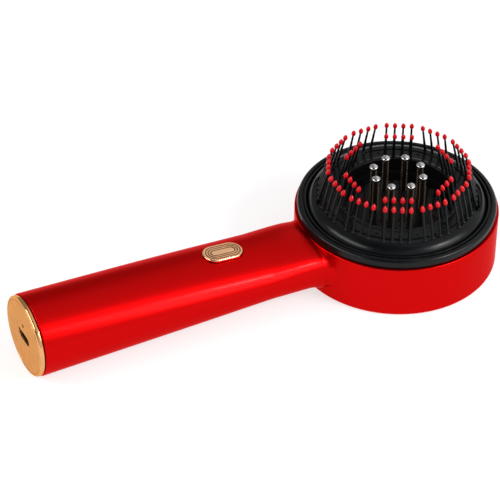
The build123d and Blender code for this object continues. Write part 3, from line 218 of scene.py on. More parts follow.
class Finish:
    """A node material on one Principled shader, with helpers for its patterns."""

    def __init__(self, name):
        self.material = bpy.data.materials.new(name)
        self.material.use_nodes = True
        self.tree = self.material.node_tree
        self.shader = self.tree.nodes["Principled BSDF"]
        place = self.tree.nodes.new("ShaderNodeTexCoord")
        self.place = place.outputs["Object"]

    def set(self, **values):
        """Values for the shader's own sockets, with _ for each space in a name."""
        for key, value in values.items():
            self.shader.inputs[key.replace("_", " ")].default_value = value
        return self

    def node(self, kind, **values):
        made = self.tree.nodes.new("ShaderNode" + kind)
        for key, value in values.items():
            setattr(made, key, value)
        return made

    def link(self, source, target):
        self.tree.links.new(source, target)

    def noise(self, per_mm, detail=3.0):
        """Noise with about per_mm features in a millimetre."""
        made = self.node("TexNoise")
        made.inputs["Scale"].default_value = per_mm / MM
        made.inputs["Detail"].default_value = detail
        self.link(self.place, made.inputs["Vector"])
        return made.outputs["Fac"]

    def between(self, value, low, high, from_low=0.35, from_high=0.65):
        """low to high as the value goes from from_low to from_high, clamped."""
        ranged = self.node("MapRange")
        for key, number in zip(("From Min", "From Max", "To Min", "To Max"),
                               (from_low, from_high, low, high)):
            ranged.inputs[key].default_value = number
        self.link(value, ranged.inputs["Value"])
        return ranged.outputs["Result"]

    def mix(self, value, first, second):
        """A colour between first and second, each a colour or a socket."""
        made = self.node("Mix", data_type="RGBA")
        self.link(value, made.inputs[0])
        for socket, colour in ((made.inputs[6], first), (made.inputs[7], second)):
            if isinstance(colour, bpy.types.NodeSocket):
                self.link(colour, socket)
            else:
                socket.default_value = (*colour, 1.0)
        return made.outputs[2]

    def reach(self, centre, scale):
        """Distance from a centre, both in millimetres, with each axis scaled."""
        moved = self.node("VectorMath", operation="SUBTRACT")
        moved.inputs[1].default_value = [c * MM for c in centre]
        self.link(self.place, moved.inputs[0])
        scaled = self.node("VectorMath", operation="MULTIPLY")
        scaled.inputs[1].default_value = [c / MM for c in scale]
        self.link(moved.outputs[0], scaled.inputs[0])
        length = self.node("VectorMath", operation="LENGTH")
        self.link(scaled.outputs[0], length.inputs[0])
        return length.outputs["Value"]

    def mottled(self, per_mm, low, high, detail=2.0):
        """A colour that drifts from low to high in patches."""
        return self.mix(self.between(self.noise(per_mm, detail), 0.0, 1.0), low, high)

    def bump(self, value, depth_mm, strength=1.0):
        made = self.node("Bump")
        made.inputs["Strength"].default_value = strength
        made.inputs["Distance"].default_value = depth_mm * MM
        self.link(value, made.inputs["Height"])
        self.link(made.outputs["Normal"], self.shader.inputs["Normal"])

    def paint(self, colour):
        self.link(colour, self.shader.inputs["Base Color"])

    def rough(self, value):
        self.link(value, self.shader.inputs["Roughness"])


def moulded(name, low, high, rough, grain, depth, metallic=0.0, specular=0.5):
    """Plastic, rubber or plated metal: mottled colour, uneven gloss and a fine grain."""
    made = Finish(name)
    made.set(Metallic=metallic, Specular_IOR_Level=specular)
    fine = made.noise(grain, 4.0)
    made.paint(made.mottled(0.12, low, high))
    made.rough(made.between(fine, *rough))
    if depth:
        made.bump(fine, depth, 0.6)
    return made.material


def red_lacquer():
    """Candy lacquer: red metal flake under a thin clear coat."""
    made = Finish("red_body")
    made.set(Metallic=0.98, Coat_Weight=0.06, Coat_Roughness=0.14, Coat_IOR=1.5,
             Specular_Tint=(1.0, 0.2, 0.2, 1.0))
    flakes = made.node("TexVoronoi", feature="F1")
    flakes.inputs["Scale"].default_value = 9.0 / MM
    made.link(made.place, flakes.inputs["Vector"])
    flake = made.between(flakes.outputs["Color"], 0.0, 1.0, 0.0, 1.0)
    made.paint(made.mix(flake, (0.52, 0.0008, 0.0012), (0.60, 0.001, 0.0016)))
    made.rough(made.between(made.noise(6.0, 2.0), 0.31, 0.35))
    made.bump(made.noise(1.1, 2.0), 0.0035, 0.5)
    return made.material


def rose_gold(name, low, high, rough, metallic=1.0):
    """Satin rose-gold plating."""
    made = Finish(name)
    made.set(Metallic=metallic, Specular_Tint=(0.86, 0.62, 0.42, 1.0))
    fine = made.noise(14.0)
    made.paint(made.mottled(0.25, low, high))
    made.rough(made.between(fine, *rough))
    made.bump(fine, 0.002, 0.5)
    return made


def cap_gold():
    """Satin on the end cap's face, polished on its rolled rim."""
    made = rose_gold("gold_cap", (0.70, 0.35, 0.145), (0.76, 0.39, 0.165), (0.24, 0.32))
    out = made.reach((0.0, 0.0, CAP_Z), (0.0, 1 / CAP_HALF[0], 1 / CAP_HALF[1]))
    made.rough(made.between(out, 0.30, 0.07, 0.915, 0.93))
    return made.material


def comb_black():
    """Black moulding: glossy flank, satin land, and a wall round the window painted darker, as
    painted shade.
    """
    made = Finish("black_comb")
    made.set(Specular_IOR_Level=0.17)
    out = made.reach((0.0, 0.0, 0.0), (1.0, 1.0, 0.0))
    black = made.mottled(0.15, (0.0024, 0.0029, 0.0034), (0.0040, 0.0047, 0.0053))
    past_shaded_wall = made.between(out, 0.0, 1.0, *WALL_TO_LAND)
    # painted shade: the wall round the window is coloured darker than the black land, for the shade
    # in the well
    made.paint(made.mix(past_shaded_wall, (0.0008, 0.0008, 0.001), black))
    wall = made.between(out, 0.22, 0.0, *WALL_TO_LAND)
    land = made.between(out, 0.22, 0.25, *LAND_TO_FLANK)
    total = made.node("Math", operation="ADD")
    made.link(wall, total.inputs[0])
    made.link(land, total.inputs[1])
    made.rough(total.outputs[0])
    made.bump(made.noise(5.0), 0.002, 0.5)
    return made.material


def clear_pipe():
    """Clear moulded plastic with faint haze."""
    made = Finish("clear_column")
    made.set(Transmission_Weight=0.99, IOR=1.47)
    tint = (0.90, 0.80, 0.68)
    made.paint(made.mottled(0.6, tint, [c * 0.97 for c in tint]))
    made.rough(made.between(made.noise(3.0, 2.0), 0.01, 0.03))
    return made.material


def clear_tube():
    """Thin clear tube: faint face on, tan at its edges, partly its own tint and partly a painted
    highlight for light refracted along its walls.
    """
    made = Finish("clear_tube")
    made.set(IOR=1.47)
    made.paint(made.mottled(0.6, (0.40, 0.32, 0.23), (0.46, 0.37, 0.27)))
    made.rough(made.between(made.noise(3.0, 2.0), 0.04, 0.08))
    turned = made.node("LayerWeight")
    turned.inputs["Blend"].default_value = 0.5
    shown = made.between(turned.outputs["Facing"], 0.0, 0.5, 0.56, 0.82)
    # painted highlight: alpha rises towards the edges, so the tube's tan colour shows there as
    # bright lines that stand in for light refracted along its walls
    made.link(shown, made.shader.inputs["Alpha"])
    return made.material


def smoky():
    """Smoked window: faint haze in the middle, turning black towards its ledge as painted shade."""
    made = Finish("dark_window")
    made.set(Alpha=0.62, IOR=1.45, Specular_IOR_Level=0.14)
    haze = made.mottled(0.25, (0.010, 0.008, 0.008), (0.018, 0.014, 0.013), 3.0)
    out = made.reach((0.0, 0.0, 0.0), (1.0, 1.0, 0.0))
    # painted shade: from 8 to 17.5 mm out the colour goes from the haze to black, for the shade
    # near the well's wall
    made.paint(made.mix(made.between(out, 0.0, 1.0, 8.0, 17.5), haze, (0.003, 0.003, 0.0035)))
    made.rough(made.between(made.noise(3.0, 2.0), 0.05, 0.10))
    return made.material


def board_green():
    """Green solder mask with tracks showing through it."""
    made = Finish("circuit_board")
    made.set(Specular_IOR_Level=0.5)
    tracks = made.node("TexBrick")
    tracks.inputs["Scale"].default_value = 0.22 / MM
    tracks.inputs["Mortar Size"].default_value = 0.06
    tracks.inputs["Color1"].default_value = (0.012, 0.085, 0.035, 1)
    tracks.inputs["Color2"].default_value = (0.010, 0.070, 0.030, 1)
    tracks.inputs["Mortar"].default_value = (0.03, 0.16, 0.06, 1)
    made.link(made.place, tracks.inputs["Vector"])
    made.paint(tracks.outputs["Color"])
    made.rough(made.between(made.noise(3.0), 0.28, 0.42))
    return made.material


def windings():
    """Copper turns wound side by side."""
    made = Finish("winding")
    made.set(Metallic=0.9)
    bands = made.node("TexWave", wave_type="BANDS", bands_direction="Y")
    bands.inputs["Scale"].default_value = 1.2 / MM
    made.link(made.place, bands.inputs["Vector"])
    made.paint(made.mix(bands.outputs["Fac"], (0.35, 0.13, 0.05), (0.78, 0.38, 0.18)))
    made.rough(made.between(made.noise(4.0), 0.25, 0.4))
    made.bump(bands.outputs["Fac"], 0.08)
    return made.material


# Near-black matt finish for the window's edge: painted shade in the gap at the well's wall.
WINDOW_SHADE_EDGE = ((0.0008, 0.0008, 0.001), (0.0016, 0.0016, 0.002), (0.45, 0.55), 5.0, 0.003, 0.0, 0.1)
SOCKET_STEEL = ((0.085, 0.06, 0.045), (0.12, 0.085, 0.065), (0.35, 0.45), 6.0, 0.004, 1.0)

# Darker and lighter colour, roughness, grain per mm, its depth in mm, metallic, specular level.
MOULDED = {
    "black_gloss": ((0.0024, 0.0029, 0.0034), (0.0040, 0.0047, 0.0053), (0.22, 0.30),
                    6.0, 0.002, 0.0, 0.19),
    "black_satin": ((0.0045, 0.0047, 0.005), (0.0065, 0.0067, 0.007), (0.19, 0.26),
                    5.0, 0.002, 0.0, 0.32),
    "black_plastic": ((0.004, 0.004, 0.0045), (0.006, 0.006, 0.0065), (0.42, 0.55),
                      5.0, 0.006, 0.0, 0.3),
    "black_bristle": ((0.0020, 0.0030, 0.0038), (0.0034, 0.0048, 0.0058), (0.28, 0.36),
                      8.0, 0.002, 0.0, 0.20),
    "red_tip": ((0.58, 0.001, 0.006), (0.66, 0.0015, 0.010), (0.24, 0.32), 5.0, 0.004, 0.0, 0.3),
    "black_rubber": ((0.012, 0.012, 0.012), (0.02, 0.02, 0.02), (0.6, 0.75), 6.0, 0.01),
    "brass_pin": ((0.008, 0.005, 0.003), (0.012, 0.008, 0.005), (0.35, 0.45), 5.0, 0.001, 0.3, 0.2),
    "chrome_cap": ((0.50, 0.50, 0.50), (0.56, 0.56, 0.56), (0.02, 0.04), 5.0, 0.0, 1.0),
    "red_led": ((0.50, 0.02, 0.015), (0.62, 0.03, 0.02), (0.18, 0.28), 4.0, 0.004),
    "steel": ((0.50, 0.50, 0.51), (0.62, 0.62, 0.63), (0.25, 0.38), 6.0, 0.004, 1.0),
    "heavy_metal": ((0.33, 0.33, 0.34), (0.43, 0.43, 0.44), (0.45, 0.6), 4.0, 0.02, 1.0),
    "ferrite": ((0.035, 0.035, 0.038), (0.055, 0.055, 0.06), (0.5, 0.65), 4.0, 0.02),
    "white_plastic": ((0.72, 0.71, 0.67), (0.78, 0.77, 0.73), (0.4, 0.5), 4.0, 0.006),
    "chip_black": ((0.010, 0.010, 0.011), (0.018, 0.018, 0.019), (0.5, 0.6), 8.0, 0.008),
    "cell_can": ((0.03, 0.12, 0.32), (0.04, 0.15, 0.38), (0.3, 0.42), 3.0, 0.01),
    "lead_insulation": ((0.35, 0.01, 0.01), (0.45, 0.015, 0.015), (0.4, 0.5), 3.0, 0.008),
}

FINISHES = {
    "red_body": red_lacquer(),
    "gold_trim": rose_gold("gold_trim", (0.66, 0.33, 0.14), (0.72, 0.37, 0.16),
                           (0.24, 0.34)).material,
    "circuit_board": board_green(),
    "winding": windings(),
    "dark_window": smoky(),
    "clear_column": clear_pipe(),
}
for name, values in MOULDED.items():
    FINISHES[name] = moulded(name, *values)

for node in nodes.values():
    for place in node.material_slots:
        place.material = FINISHES[place.material.name.split(".")[0]]

socket_steel = moulded("socket_steel", *SOCKET_STEEL)
for place in nodes["usb_shell"].material_slots:
    place.material = socket_steel


def finish_piece(obj, slot, body, *replaced, angle=35.0, material=None):
    """Material, shading, the body it belongs to, and the hiding of the CAD nodes that a piece
    replaces.
    """
    obj.data.materials.clear()
    obj.data.materials.append(material or FINISHES[slot])
    if angle:
        smooth(obj, angle)
    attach(obj, body)
    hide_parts(*replaced)
    return obj


# ---- Handle surface ----

DRUM_R = 42.5
DRUM_H = 24.0
FOOT_ROUND = 1.8
LIP_ROUND = 0.35
WALL = 2.2
HANDLE_S = (47.0, 105.0, 166.65)    # three sections along the handle, with these sizes
HALF_W = (17.13, 17.69, 17.35)
HALF_H = (10.39, 14.01, 16.94)
MID_Z = (14.70, 16.04, 16.94)
EASE = 26.0              # the straight runs turn into each other over this length
NECK_FILLET = 5.0        # between the drum's wall and the handle's sides
NECK_TOP_RUN = 12.5      # the handle's top dips to the drum's lip over this length
NECK_FOOT_DROP = 2.0     # its underside drops by this much, over the next length
NECK_FOOT_RUN = 6.0
NECK_BULGE = 0.70        # section's fullness at the drum; ROUND_BULGE is an ellipse
ROUND_BULGE = 0.5523
ROUND_RUN = 22.5         # the one turns into the other over this length
END_ROUND = 0.5          # the housing's open edge beside the gold cap


def along(s, values):
    """Straight runs between the handle's three sections, eased where they meet."""
    first = (values[1] - values[0]) / (HANDLE_S[1] - HANDLE_S[0])
    second = (values[2] - values[1]) / (HANDLE_S[2] - HANDLE_S[1])
    past = s - HANDLE_S[1]
    plain = values[1] + np.where(past < 0, first, second) * past
    near = np.maximum(0.0, EASE - np.abs(past))
    return plain + (second - first) * near ** 2 / (4 * EASE)


def section(s, inset, end_round):
    """Half width, half height, middle height and bulge of the handle at s.

    The surface is moved in by inset, and the end's edge is rounded by end_round.
    """
    s = np.asarray(s, float)
    held = np.maximum(s, DRUM_R)
    straight = along(held, MID_Z) + along(held, HALF_H)
    dip = float(along(np.array(DRUM_R), MID_Z) + along(np.array(DRUM_R), HALF_H)) - DRUM_H
    top = straight - dip * (np.maximum(0.0, DRUM_R + NECK_TOP_RUN - held) / NECK_TOP_RUN) ** 2
    foot = np.maximum(0.0, DRUM_R + NECK_FOOT_RUN - held) / NECK_FOOT_RUN
    bottom = along(held, MID_Z) - along(held, HALF_H) - NECK_FOOT_DROP * foot ** 2
    flare_y = HALF_W[0] + NECK_FILLET
    flare_s = math.sqrt((DRUM_R + NECK_FILLET) ** 2 - flare_y ** 2)
    tangent_s = flare_s * DRUM_R / (DRUM_R + NECK_FILLET)
    inside = np.maximum(0.0, flare_s - np.maximum(s, tangent_s))
    half_w = along(s, HALF_W) + NECK_FILLET - np.sqrt(NECK_FILLET ** 2 - inside ** 2)
    into = np.clip(s - (HANDLE_S[2] - end_round), 0.0, end_round) if end_round else 0.0 * s
    inset = inset + (end_round - np.sqrt(np.maximum(0.0, end_round ** 2 - into ** 2)))
    share = np.clip((s - DRUM_R) / ROUND_RUN, 0.0, 1.0)
    bulge = NECK_BULGE + share * (ROUND_BULGE - NECK_BULGE)
    return half_w - inset, (top - bottom) / 2 - inset, (top + bottom) / 2, bulge


def quarter(t, bulge):
    """The section's quarter curve in a unit square, from (1, 0) to (0, 1)."""
    u = (1 - t) ** 3 + 3 * (1 - t) ** 2 * t + 3 * bulge * (1 - t) * t ** 2
    v = 3 * bulge * (1 - t) ** 2 * t + 3 * (1 - t) * t ** 2 + t ** 3
    return u, v


def tube(stations, around, inset, end_round=0.0):
    """The handle's closed solid through rings at the given stations."""
    step = 4 * np.arange(around) / around
    corner = step.astype(int)
    share = np.where(corner % 2 == 0, step - corner, 1 - (step - corner))
    sign_u = np.where((corner == 0) | (corner == 3), 1, -1)
    sign_v = np.where(corner < 2, 1, -1)
    rings = []
    for s in stations:
        a, b, middle, bulge = (float(value) for value in section(s, inset, end_round))
        u, v = quarter(share, bulge)
        rings.append([(-s, y, z) for y, z in zip(sign_u * u * a, middle + sign_v * v * b)])
    return capped(rings)


HALVINGS = 34            # of the curve's parameter, down to rounding error


def off_surface(points):
    """0 on the handle's surface, growing outwards; points in millimetres."""
    s, y, z = -points[:, 0], points[:, 1], points[:, 2]
    a, b, middle, bulge = section(s, 0.0, END_ROUND)
    u, v = np.abs(y) / a, np.abs(z - middle) / b
    low, high = np.zeros(len(s)), np.ones(len(s))
    for _ in range(HALVINGS):
        half = (low + high) / 2
        x_half, y_half = quarter(half, bulge)
        short = y_half * u < x_half * v
        low, high = np.where(short, half, low), np.where(short, high, half)
    x_at, y_at = quarter((low + high) / 2, bulge)
    return np.hypot(u, v) / np.hypot(x_at, y_at) - 1


def handle_normals(points):
    """Normals of the handle's outside, from the slope of off_surface."""
    step = 0.02
    slopes = []
    for axis in range(3):
        move = np.zeros(3)
        move[axis] = step
        slopes.append(off_surface(points + move) - off_surface(points - move))
    found = np.stack(slopes, 1)
    return found / np.linalg.norm(found, axis=1, keepdims=True)


def drum_normals(points):
    """Normals of the drum's outside: wall, rounded foot, rounded lip and flat faces."""
    radius = np.hypot(points[:, 0], points[:, 1])
    z = points[:, 2]
    out = np.stack([points[:, 0], points[:, 1]], 1) / np.maximum(radius, 1e-9)[:, None]
    foot_r, foot_z = radius - (DRUM_R - FOOT_ROUND), np.minimum(z - FOOT_ROUND, 0.0)
    lip_r, lip_z = radius - (DRUM_R - LIP_ROUND), np.maximum(z - (DRUM_H - LIP_ROUND), 0.0)
    level = np.where(z < FOOT_ROUND, foot_z, lip_z)
    reach = np.where(z < FOOT_ROUND, foot_r, lip_r)
    reach = np.where((z >= FOOT_ROUND) & (z <= DRUM_H - LIP_ROUND), 1.0, np.maximum(reach, 0.0))
    size = np.maximum(np.hypot(reach, level), 1e-9)
    return np.concatenate([out * (reach / size)[:, None], (level / size)[:, None]], 1)


BUTTON_S = 81.0
BUTTON_L = 17.2
BUTTON_W = 10.0
BUTTON_CLEAR = 0.25      # all round, in the housing's opening
STADIUM_STEPS = 24


def straight_top(s):
    """Height of the straight run between the handle's first two tops."""
    share = (s - HANDLE_S[0]) / (HANDLE_S[1] - HANDLE_S[0])
    return (MID_Z[0] + HALF_H[0]) + share * (MID_Z[1] + HALF_H[1] - MID_Z[0] - HALF_H[0])


def button_matrix():
    """The button's frame: X along the handle's top line to the drum, Z out of it."""
    rise = straight_top(BUTTON_S + BUTTON_L / 2) - straight_top(BUTTON_S - BUTTON_L / 2)
    place = Matrix.Translation((-BUTTON_S, 0, straight_top(BUTTON_S)))
    return place @ Matrix.Rotation(math.atan2(rise, BUTTON_L), 4, "Y")


def stadium_ring(length, width, z, steps):
    """Points round a stadium that lies along X."""
    radius = width / 2
    reach = length / 2 - radius
    ring = []
    for side in (1, -1):
        for k in range(steps + 1):
            turn = math.pi * (k / steps - 0.5)
            x = side * (reach + radius * math.cos(turn))
            ring.append((x, side * radius * math.sin(turn), z))
    return ring


def stadium_sweep(length, width, profile, steps=STADIUM_STEPS):
    """A solid through stadium rings at (inset, z); it closes flat at both ends."""
    rings = [stadium_ring(length - 2 * inset, width - 2 * inset, z, steps) for inset, z in profile]
    return capped(rings)


CARRIER_R = 29.7         # the carrier's screws, from the drum's axis
CLAMP_X = 10.5           # the motor clamp's screws, each side of it
SADDLE_Y = 6.5           # the motor's cradle walls, each side of its middle
SADDLE_HALF = 8.0
SADDLE_THICK = 1.5       # each side of a wall's middle
SADDLE_TOP = 7.0
MOTOR_Z = 8.8
SLEEVE_R = 6.05
SUNK = 1.1               # bosses and walls start inside the housing's floor


def boss(radius, bore, high, depth):
    """A screw boss with a blind hole from its top."""
    return lathe([(0, SUNK), (radius, SUNK), (radius, high), (bore, high),
                  (bore, high - depth), (0, high - depth)], 32)


def saddle(y):
    """A cradle's wall across the motor's sleeve."""
    reach = math.acos((SADDLE_TOP - MOTOR_Z) / SLEEVE_R)
    outline = [(-SADDLE_HALF, SUNK), (SADDLE_HALF, SUNK), (SADDLE_HALF, SADDLE_TOP)]
    for k in range(25):
        turn = reach - 2 * reach * k / 24 - math.pi / 2
        x, z = -SLEEVE_R * math.cos(turn), MOTOR_Z + SLEEVE_R * math.sin(turn)
        if z <= SADDLE_TOP:
            outline.append((x, z))
    outline.append((-SADDLE_HALF, SADDLE_TOP))
    sides = (y - SADDLE_THICK, y + SADDLE_THICK)
    return capped([[(x, side, z) for x, z in outline] for side in sides])


def box(x_low, x_high, half_y, z_low, z_high):
    corners = [(x_low, -half_y), (x_high, -half_y), (x_high, half_y), (x_low, half_y)]
    return capped([[(x, y, z) for x, y in corners] for z in (z_low, z_high)])


def inner_features():
    """Carrier bosses, the motor's cradle and clamp bosses, and the chassis stop."""
    carrier = boss(3.0, 1.03, 18.0, 8.0)
    clamp = boss(2.6, 0.83, 6.0, 2.5)
    parts = [placed(carrier, about_z(45 + 90 * k) @ Matrix.Translation((CARRIER_R, 0, 0)))
             for k in range(4)]
    parts += [placed(clamp, Matrix.Translation((x, 0, 0))) for x in (-CLAMP_X, CLAMP_X)]
    stop = box(-60.0, -58.2, 6.0, 4.9, 10.0)
    return joined(parts + [saddle(-SADDLE_Y), saddle(SADDLE_Y), stop])


def housing():
    """Drum and handle in one shell, with the button's opening."""
    outline = rounded([(DRUM_R, 0, FOOT_ROUND), (DRUM_R, DRUM_H, LIP_ROUND),
                       (0, DRUM_H, 0), (0, 0, 0)], 8)
    body = solid("housing_shell", lathe(outline, 256))
    body.data.materials.append(FINISHES["red_body"])
    end = HANDLE_S[2]
    near = [30.0 + 0.6 * k for k in range(60)]
    far = list(np.linspace(66.5, end - END_ROUND, 56))
    edge = [end - END_ROUND + END_ROUND * math.sin(math.pi / 2 * k / 6) for k in range(1, 7)]
    handle = solid("handle", tube(near + far + edge, 160, 0.0, END_ROUND))
    carve(body, handle, "UNION")
    inside = [34.0 + 2.0 * k for k in range(20)] + list(np.linspace(75.0, end + 1, 24))
    carve(body, solid("inside", tube(inside, 96, WALL)), "DIFFERENCE")
    bore = DRUM_R - WALL
    hollow = [(0, WALL), (bore, WALL), (bore, DRUM_H + 1), (0, DRUM_H + 1)]
    carve(body, solid("hollow", lathe(hollow, 192)), "DIFFERENCE")
    opening = stadium_sweep(BUTTON_L + 2 * BUTTON_CLEAR, BUTTON_W + 2 * BUTTON_CLEAR,
                            [(0.0, -4.5), (0.0, 1.8)])
    carve(body, solid("opening", placed(opening, button_matrix())), "DIFFERENCE")
    add_mesh(body, solid("inner", inner_features()))
    return body


def read_rows(items, attribute, width):
    """One attribute of every item in a mesh, as rows of width numbers."""
    values = np.empty(len(items) * width)
    items.foreach_get(attribute, values)
    return values.reshape(-1, width)


def read_whole(items, attribute):
    """One whole-number attribute of every item in a mesh."""
    values = np.empty(len(items), int)
    items.foreach_get(attribute, values)
    return values


def true_normals(body):
    """Normals from the drum's and handle's own shapes, so that reflections run clean."""
    mesh = body.data
    mesh.shade_smooth()
    mesh.set_sharp_from_angle(angle=math.radians(30))
    spots = read_rows(mesh.vertices, "co", 3) / MM
    middles = read_rows(mesh.polygons, "center", 3) / MM
    facing = read_rows(mesh.polygons, "normal", 3)
    vertex_of = read_whole(mesh.loops, "vertex_index")
    face_of = np.repeat(np.arange(len(mesh.polygons)), read_whole(mesh.polygons, "loop_total"))

    x, z = middles[:, 0], middles[:, 2]
    radius = np.hypot(x, middles[:, 1])
    on_wall = np.abs(radius - DRUM_R) < 0.03
    on_round = (radius > DRUM_R - FOOT_ROUND) & ((z < FOOT_ROUND) | (z > DRUM_H - LIP_ROUND))
    on_drum = np.einsum("ij,ij->i", drum_normals(middles), facing) > 0.97
    on_drum &= (on_wall | on_round) & (z > -0.01)
    on_handle = (-x > 33.0) & (-x < HANDLE_S[2] - 0.02) & ~on_drum
    on_handle &= np.abs(off_surface(middles)) < 0.004

    normals = np.zeros((len(mesh.loops), 3))
    for chosen, shape in ((on_drum, drum_normals), (on_handle, handle_normals)):
        loops = chosen[face_of]
        normals[loops] = shape(spots[vertex_of[loops]])
    away = np.einsum("ij,ij->i", normals, facing[face_of]) < 0.5
    normals[away] = 0.0          # zero keeps the mesh's own normal there
    mesh.normals_split_custom_set(normals.tolist())


body_shell = housing()
true_normals(body_shell)
finish_piece(body_shell, "red_body", "housing", "main_housing", angle=0)


# ---- Rim ring ----

rim_outline = rounded([
    (37.8, 20.0, 0.2), (40.2, 20.0, 0.1), (40.2, 24.25, 0.0), (41.5, 24.25, 0.15),
    (41.5, 27.7, 1.2), (39.4, 27.7, 0.18), (39.3, 26.5, 0.15), (38.7, 26.5, 0.15),
    (38.6, 27.7, 0.16), (37.8, 27.7, 0.22),
])
rim = solid("rim_ring_trim", lathe(rim_outline, 256))
finish_piece(rim, "black_gloss", "housing", "rim_ring")


# ---- Comb plate ----

PLATE_Z = 30.6
LAND_R = 33.2
WALL_TO_LAND = (24.0, 24.8)      # radii between which comb_black() turns from the wall, painted darker as shade, into the land's look
LAND_TO_FLANK = (32.9, 33.6)

FLANK_R = 5.3            # the flank is rolled over on this radius
FLANK_START = math.radians(12.7)
FLANK_TURN = math.radians(60)
FLANK_STEPS = 18


def flank():
    """Points down the comb's rolled flank, from the land's edge to the skirt."""
    points = []
    for k in range(1, FLANK_STEPS + 1):
        slope = FLANK_START + FLANK_TURN * k / FLANK_STEPS
        points.append((LAND_R + FLANK_R * (math.sin(slope) - math.sin(FLANK_START)),
                       PLATE_Z - FLANK_R * (math.cos(FLANK_START) - math.cos(slope)), 0))
    return points


plate_outline = rounded([
    (23.2, 25.2, 0.15), (23.9, 30.85, 0.38), (25.3, 30.85, 0.5), (26.1, PLATE_Z, 0.4),
    (30.2, PLATE_Z, 0.12), (30.4, 30.05, 0.1), (31.0, 30.05, 0.1), (31.2, PLATE_Z, 0.12),
    (LAND_R, PLATE_Z, 0.3), *flank(), (37.1, 26.7, 0), (37.1, 20.0, 0.1), (35.1, 20.0, 0.1),
    (35.1, 26.1, 0.5), (33.2, 28.4, 0.8), (25.9, 28.4, 0.4), (25.2, 25.2, 0.1),
])


def row_frames(rows, base_r, lean, tip_z, spacing):
    """Frames of bristles in rows of four, and their length.

    A frame's origin is on the plate and its Z is along the bristle, which leans
    inwards by lean and ends at tip_z.
    """
    direction = Vector((-lean, 0, tip_z - PLATE_Z))
    length = direction.length
    tilt = direction.to_track_quat("Z", "Y").to_matrix().to_4x4()
    frames = []
    for row in range(rows):
        turn = Matrix.Rotation(2 * math.pi * row / rows, 4, "Z")
        for place in (-1.5, -0.5, 0.5, 1.5):
            root = Matrix.Translation((base_r, place * spacing, PLATE_Z))
            frames.append(turn @ root @ tilt)
    return frames, length


OUTER, OUTER_L = row_frames(12, 32.3, 3.42, 44.3, 3.51)
INNER, INNER_L = row_frames(6, 25.0, 3.22, 43.8, 3.57)


def arc_slot(radius, width, span, profile, z0, steps=40, end_steps=10):
    """A solid on an arc round Z, through slot rings at (inset, z)."""
    def on_arc(reach, turn):
        return reach * math.cos(turn), reach * math.sin(turn)

    rings = []
    for inset, z in profile:
        half = width / 2 - inset
        ends = []
        for end, sign in ((span / 2, 1), (-span / 2, -1)):
            middle = on_arc(radius, end)
            turns = [end + sign * math.pi * k / end_steps for k in range(1, end_steps)]
            sweep = [on_arc(half, turn) for turn in turns]
            ends.append([(middle[0] + x, middle[1] + y) for x, y in sweep])
        ring = [on_arc(radius + half, span * (k / steps - 0.5)) for k in range(steps + 1)] + ends[0]
        ring += [on_arc(radius - half, span * (0.5 - k / steps)) for k in range(steps + 1)]
        ring += ends[1][::-1]
        rings.append([(x, y, z0 + z) for x, y in ring])
    return capped(rings)


def comb_plate():
    """Plate with two finger recesses, twelve shallow bowls and the bristles' holes."""
    plate = solid("comb_plate_shell", lathe(plate_outline, 240))
    recess = [(0.62, -1.7), (0.34, -1.62), (0.16, -1.40), (0.05, -0.5), (-0.10, -0.05),
              (-0.40, 0.10), (-0.5, 0.6)]
    slot = arc_slot(34.0, 2.8, math.radians(28), recess, PLATE_Z)
    slots = [placed(slot, about_z(turn)) for turn in (150, -30)]
    bowl = lathe([(0, -0.42), (0.30, -0.38), (0.55, -0.25), (0.72, -0.08), (0.86, 0.0),
                  (1.0, 0.6), (0, 0.6)], 24)
    bowls = [placed(bowl, about_z(60 * k + off) @ Matrix.Translation((28.55, 0, PLATE_Z)))
             for k in range(6) for off in (-17, 17)]
    hole = lathe([(0, -4.0), (0.74, -4.0), (0.74, 1.5), (0, 1.5)], 14)
    holes = [placed(hole, place) for place in OUTER + INNER]
    for cutters in (slots, bowls, holes):
        carve(plate, solid("cutters", joined(cutters)), "DIFFERENCE")
    return plate


finish_piece(comb_plate(), "black_satin", "comb", "comb_plate", angle=30, material=comb_black())


# ---- Bristles and tips ----

def bristle(length):
    """Root through the plate, a small moulded collar, then a taper into the tip."""
    top = length - 0.48
    return lathe([(0, -2.5), (0.62, -2.5), (0.70, -2.42), (0.70, -0.04), (0.88, -0.04),
                  (0.88, 0.10), (0.80, 0.22), (0.66, 0.36), (0.60, 0.60), (0.40, top),
                  (0.0, top)], 16)


def tip(length):
    """A soft drop: rounded foot, widest low down, drawn out to a blunt point."""
    outline = [(0.47, -0.45), (0.47, -1.18), (0.56, -1.20), (0.70, -1.12), (0.83, -0.90),
               (0.92, -0.58), (0.96, -0.20), (0.93, 0.16), (0.83, 0.52), (0.67, 0.85),
               (0.49, 1.14), (0.31, 1.37), (0.17, 1.50), (0.07, 1.545), (0.0, 1.55), (0.0, -0.45)]
    return lathe([(r, length + z) for r, z in outline], 20)


for label, frames, length in (("outer", OUTER, OUTER_L), ("inner", INNER, INNER_L)):
    stems = solid(f"{label}_bristle_stems", joined(placed(bristle(length), at) for at in frames))
    finish_piece(stems, "black_bristle", "comb", f"{label}_bristles", angle=50)
    drops = solid(f"{label}_bristle_drops", joined(placed(tip(length), at) for at in frames))
    finish_piece(drops, "red_tip", "comb", f"{label}_bristle_tips", angle=50)


# ---- Power button ----

PROUD = 0.8              # the button's face above the handle's top line
ENGRAVED = (1.0, 2.05, 3.1)
ENGRAVED_DEPTH = 0.24
FACE_INSET = 3.9


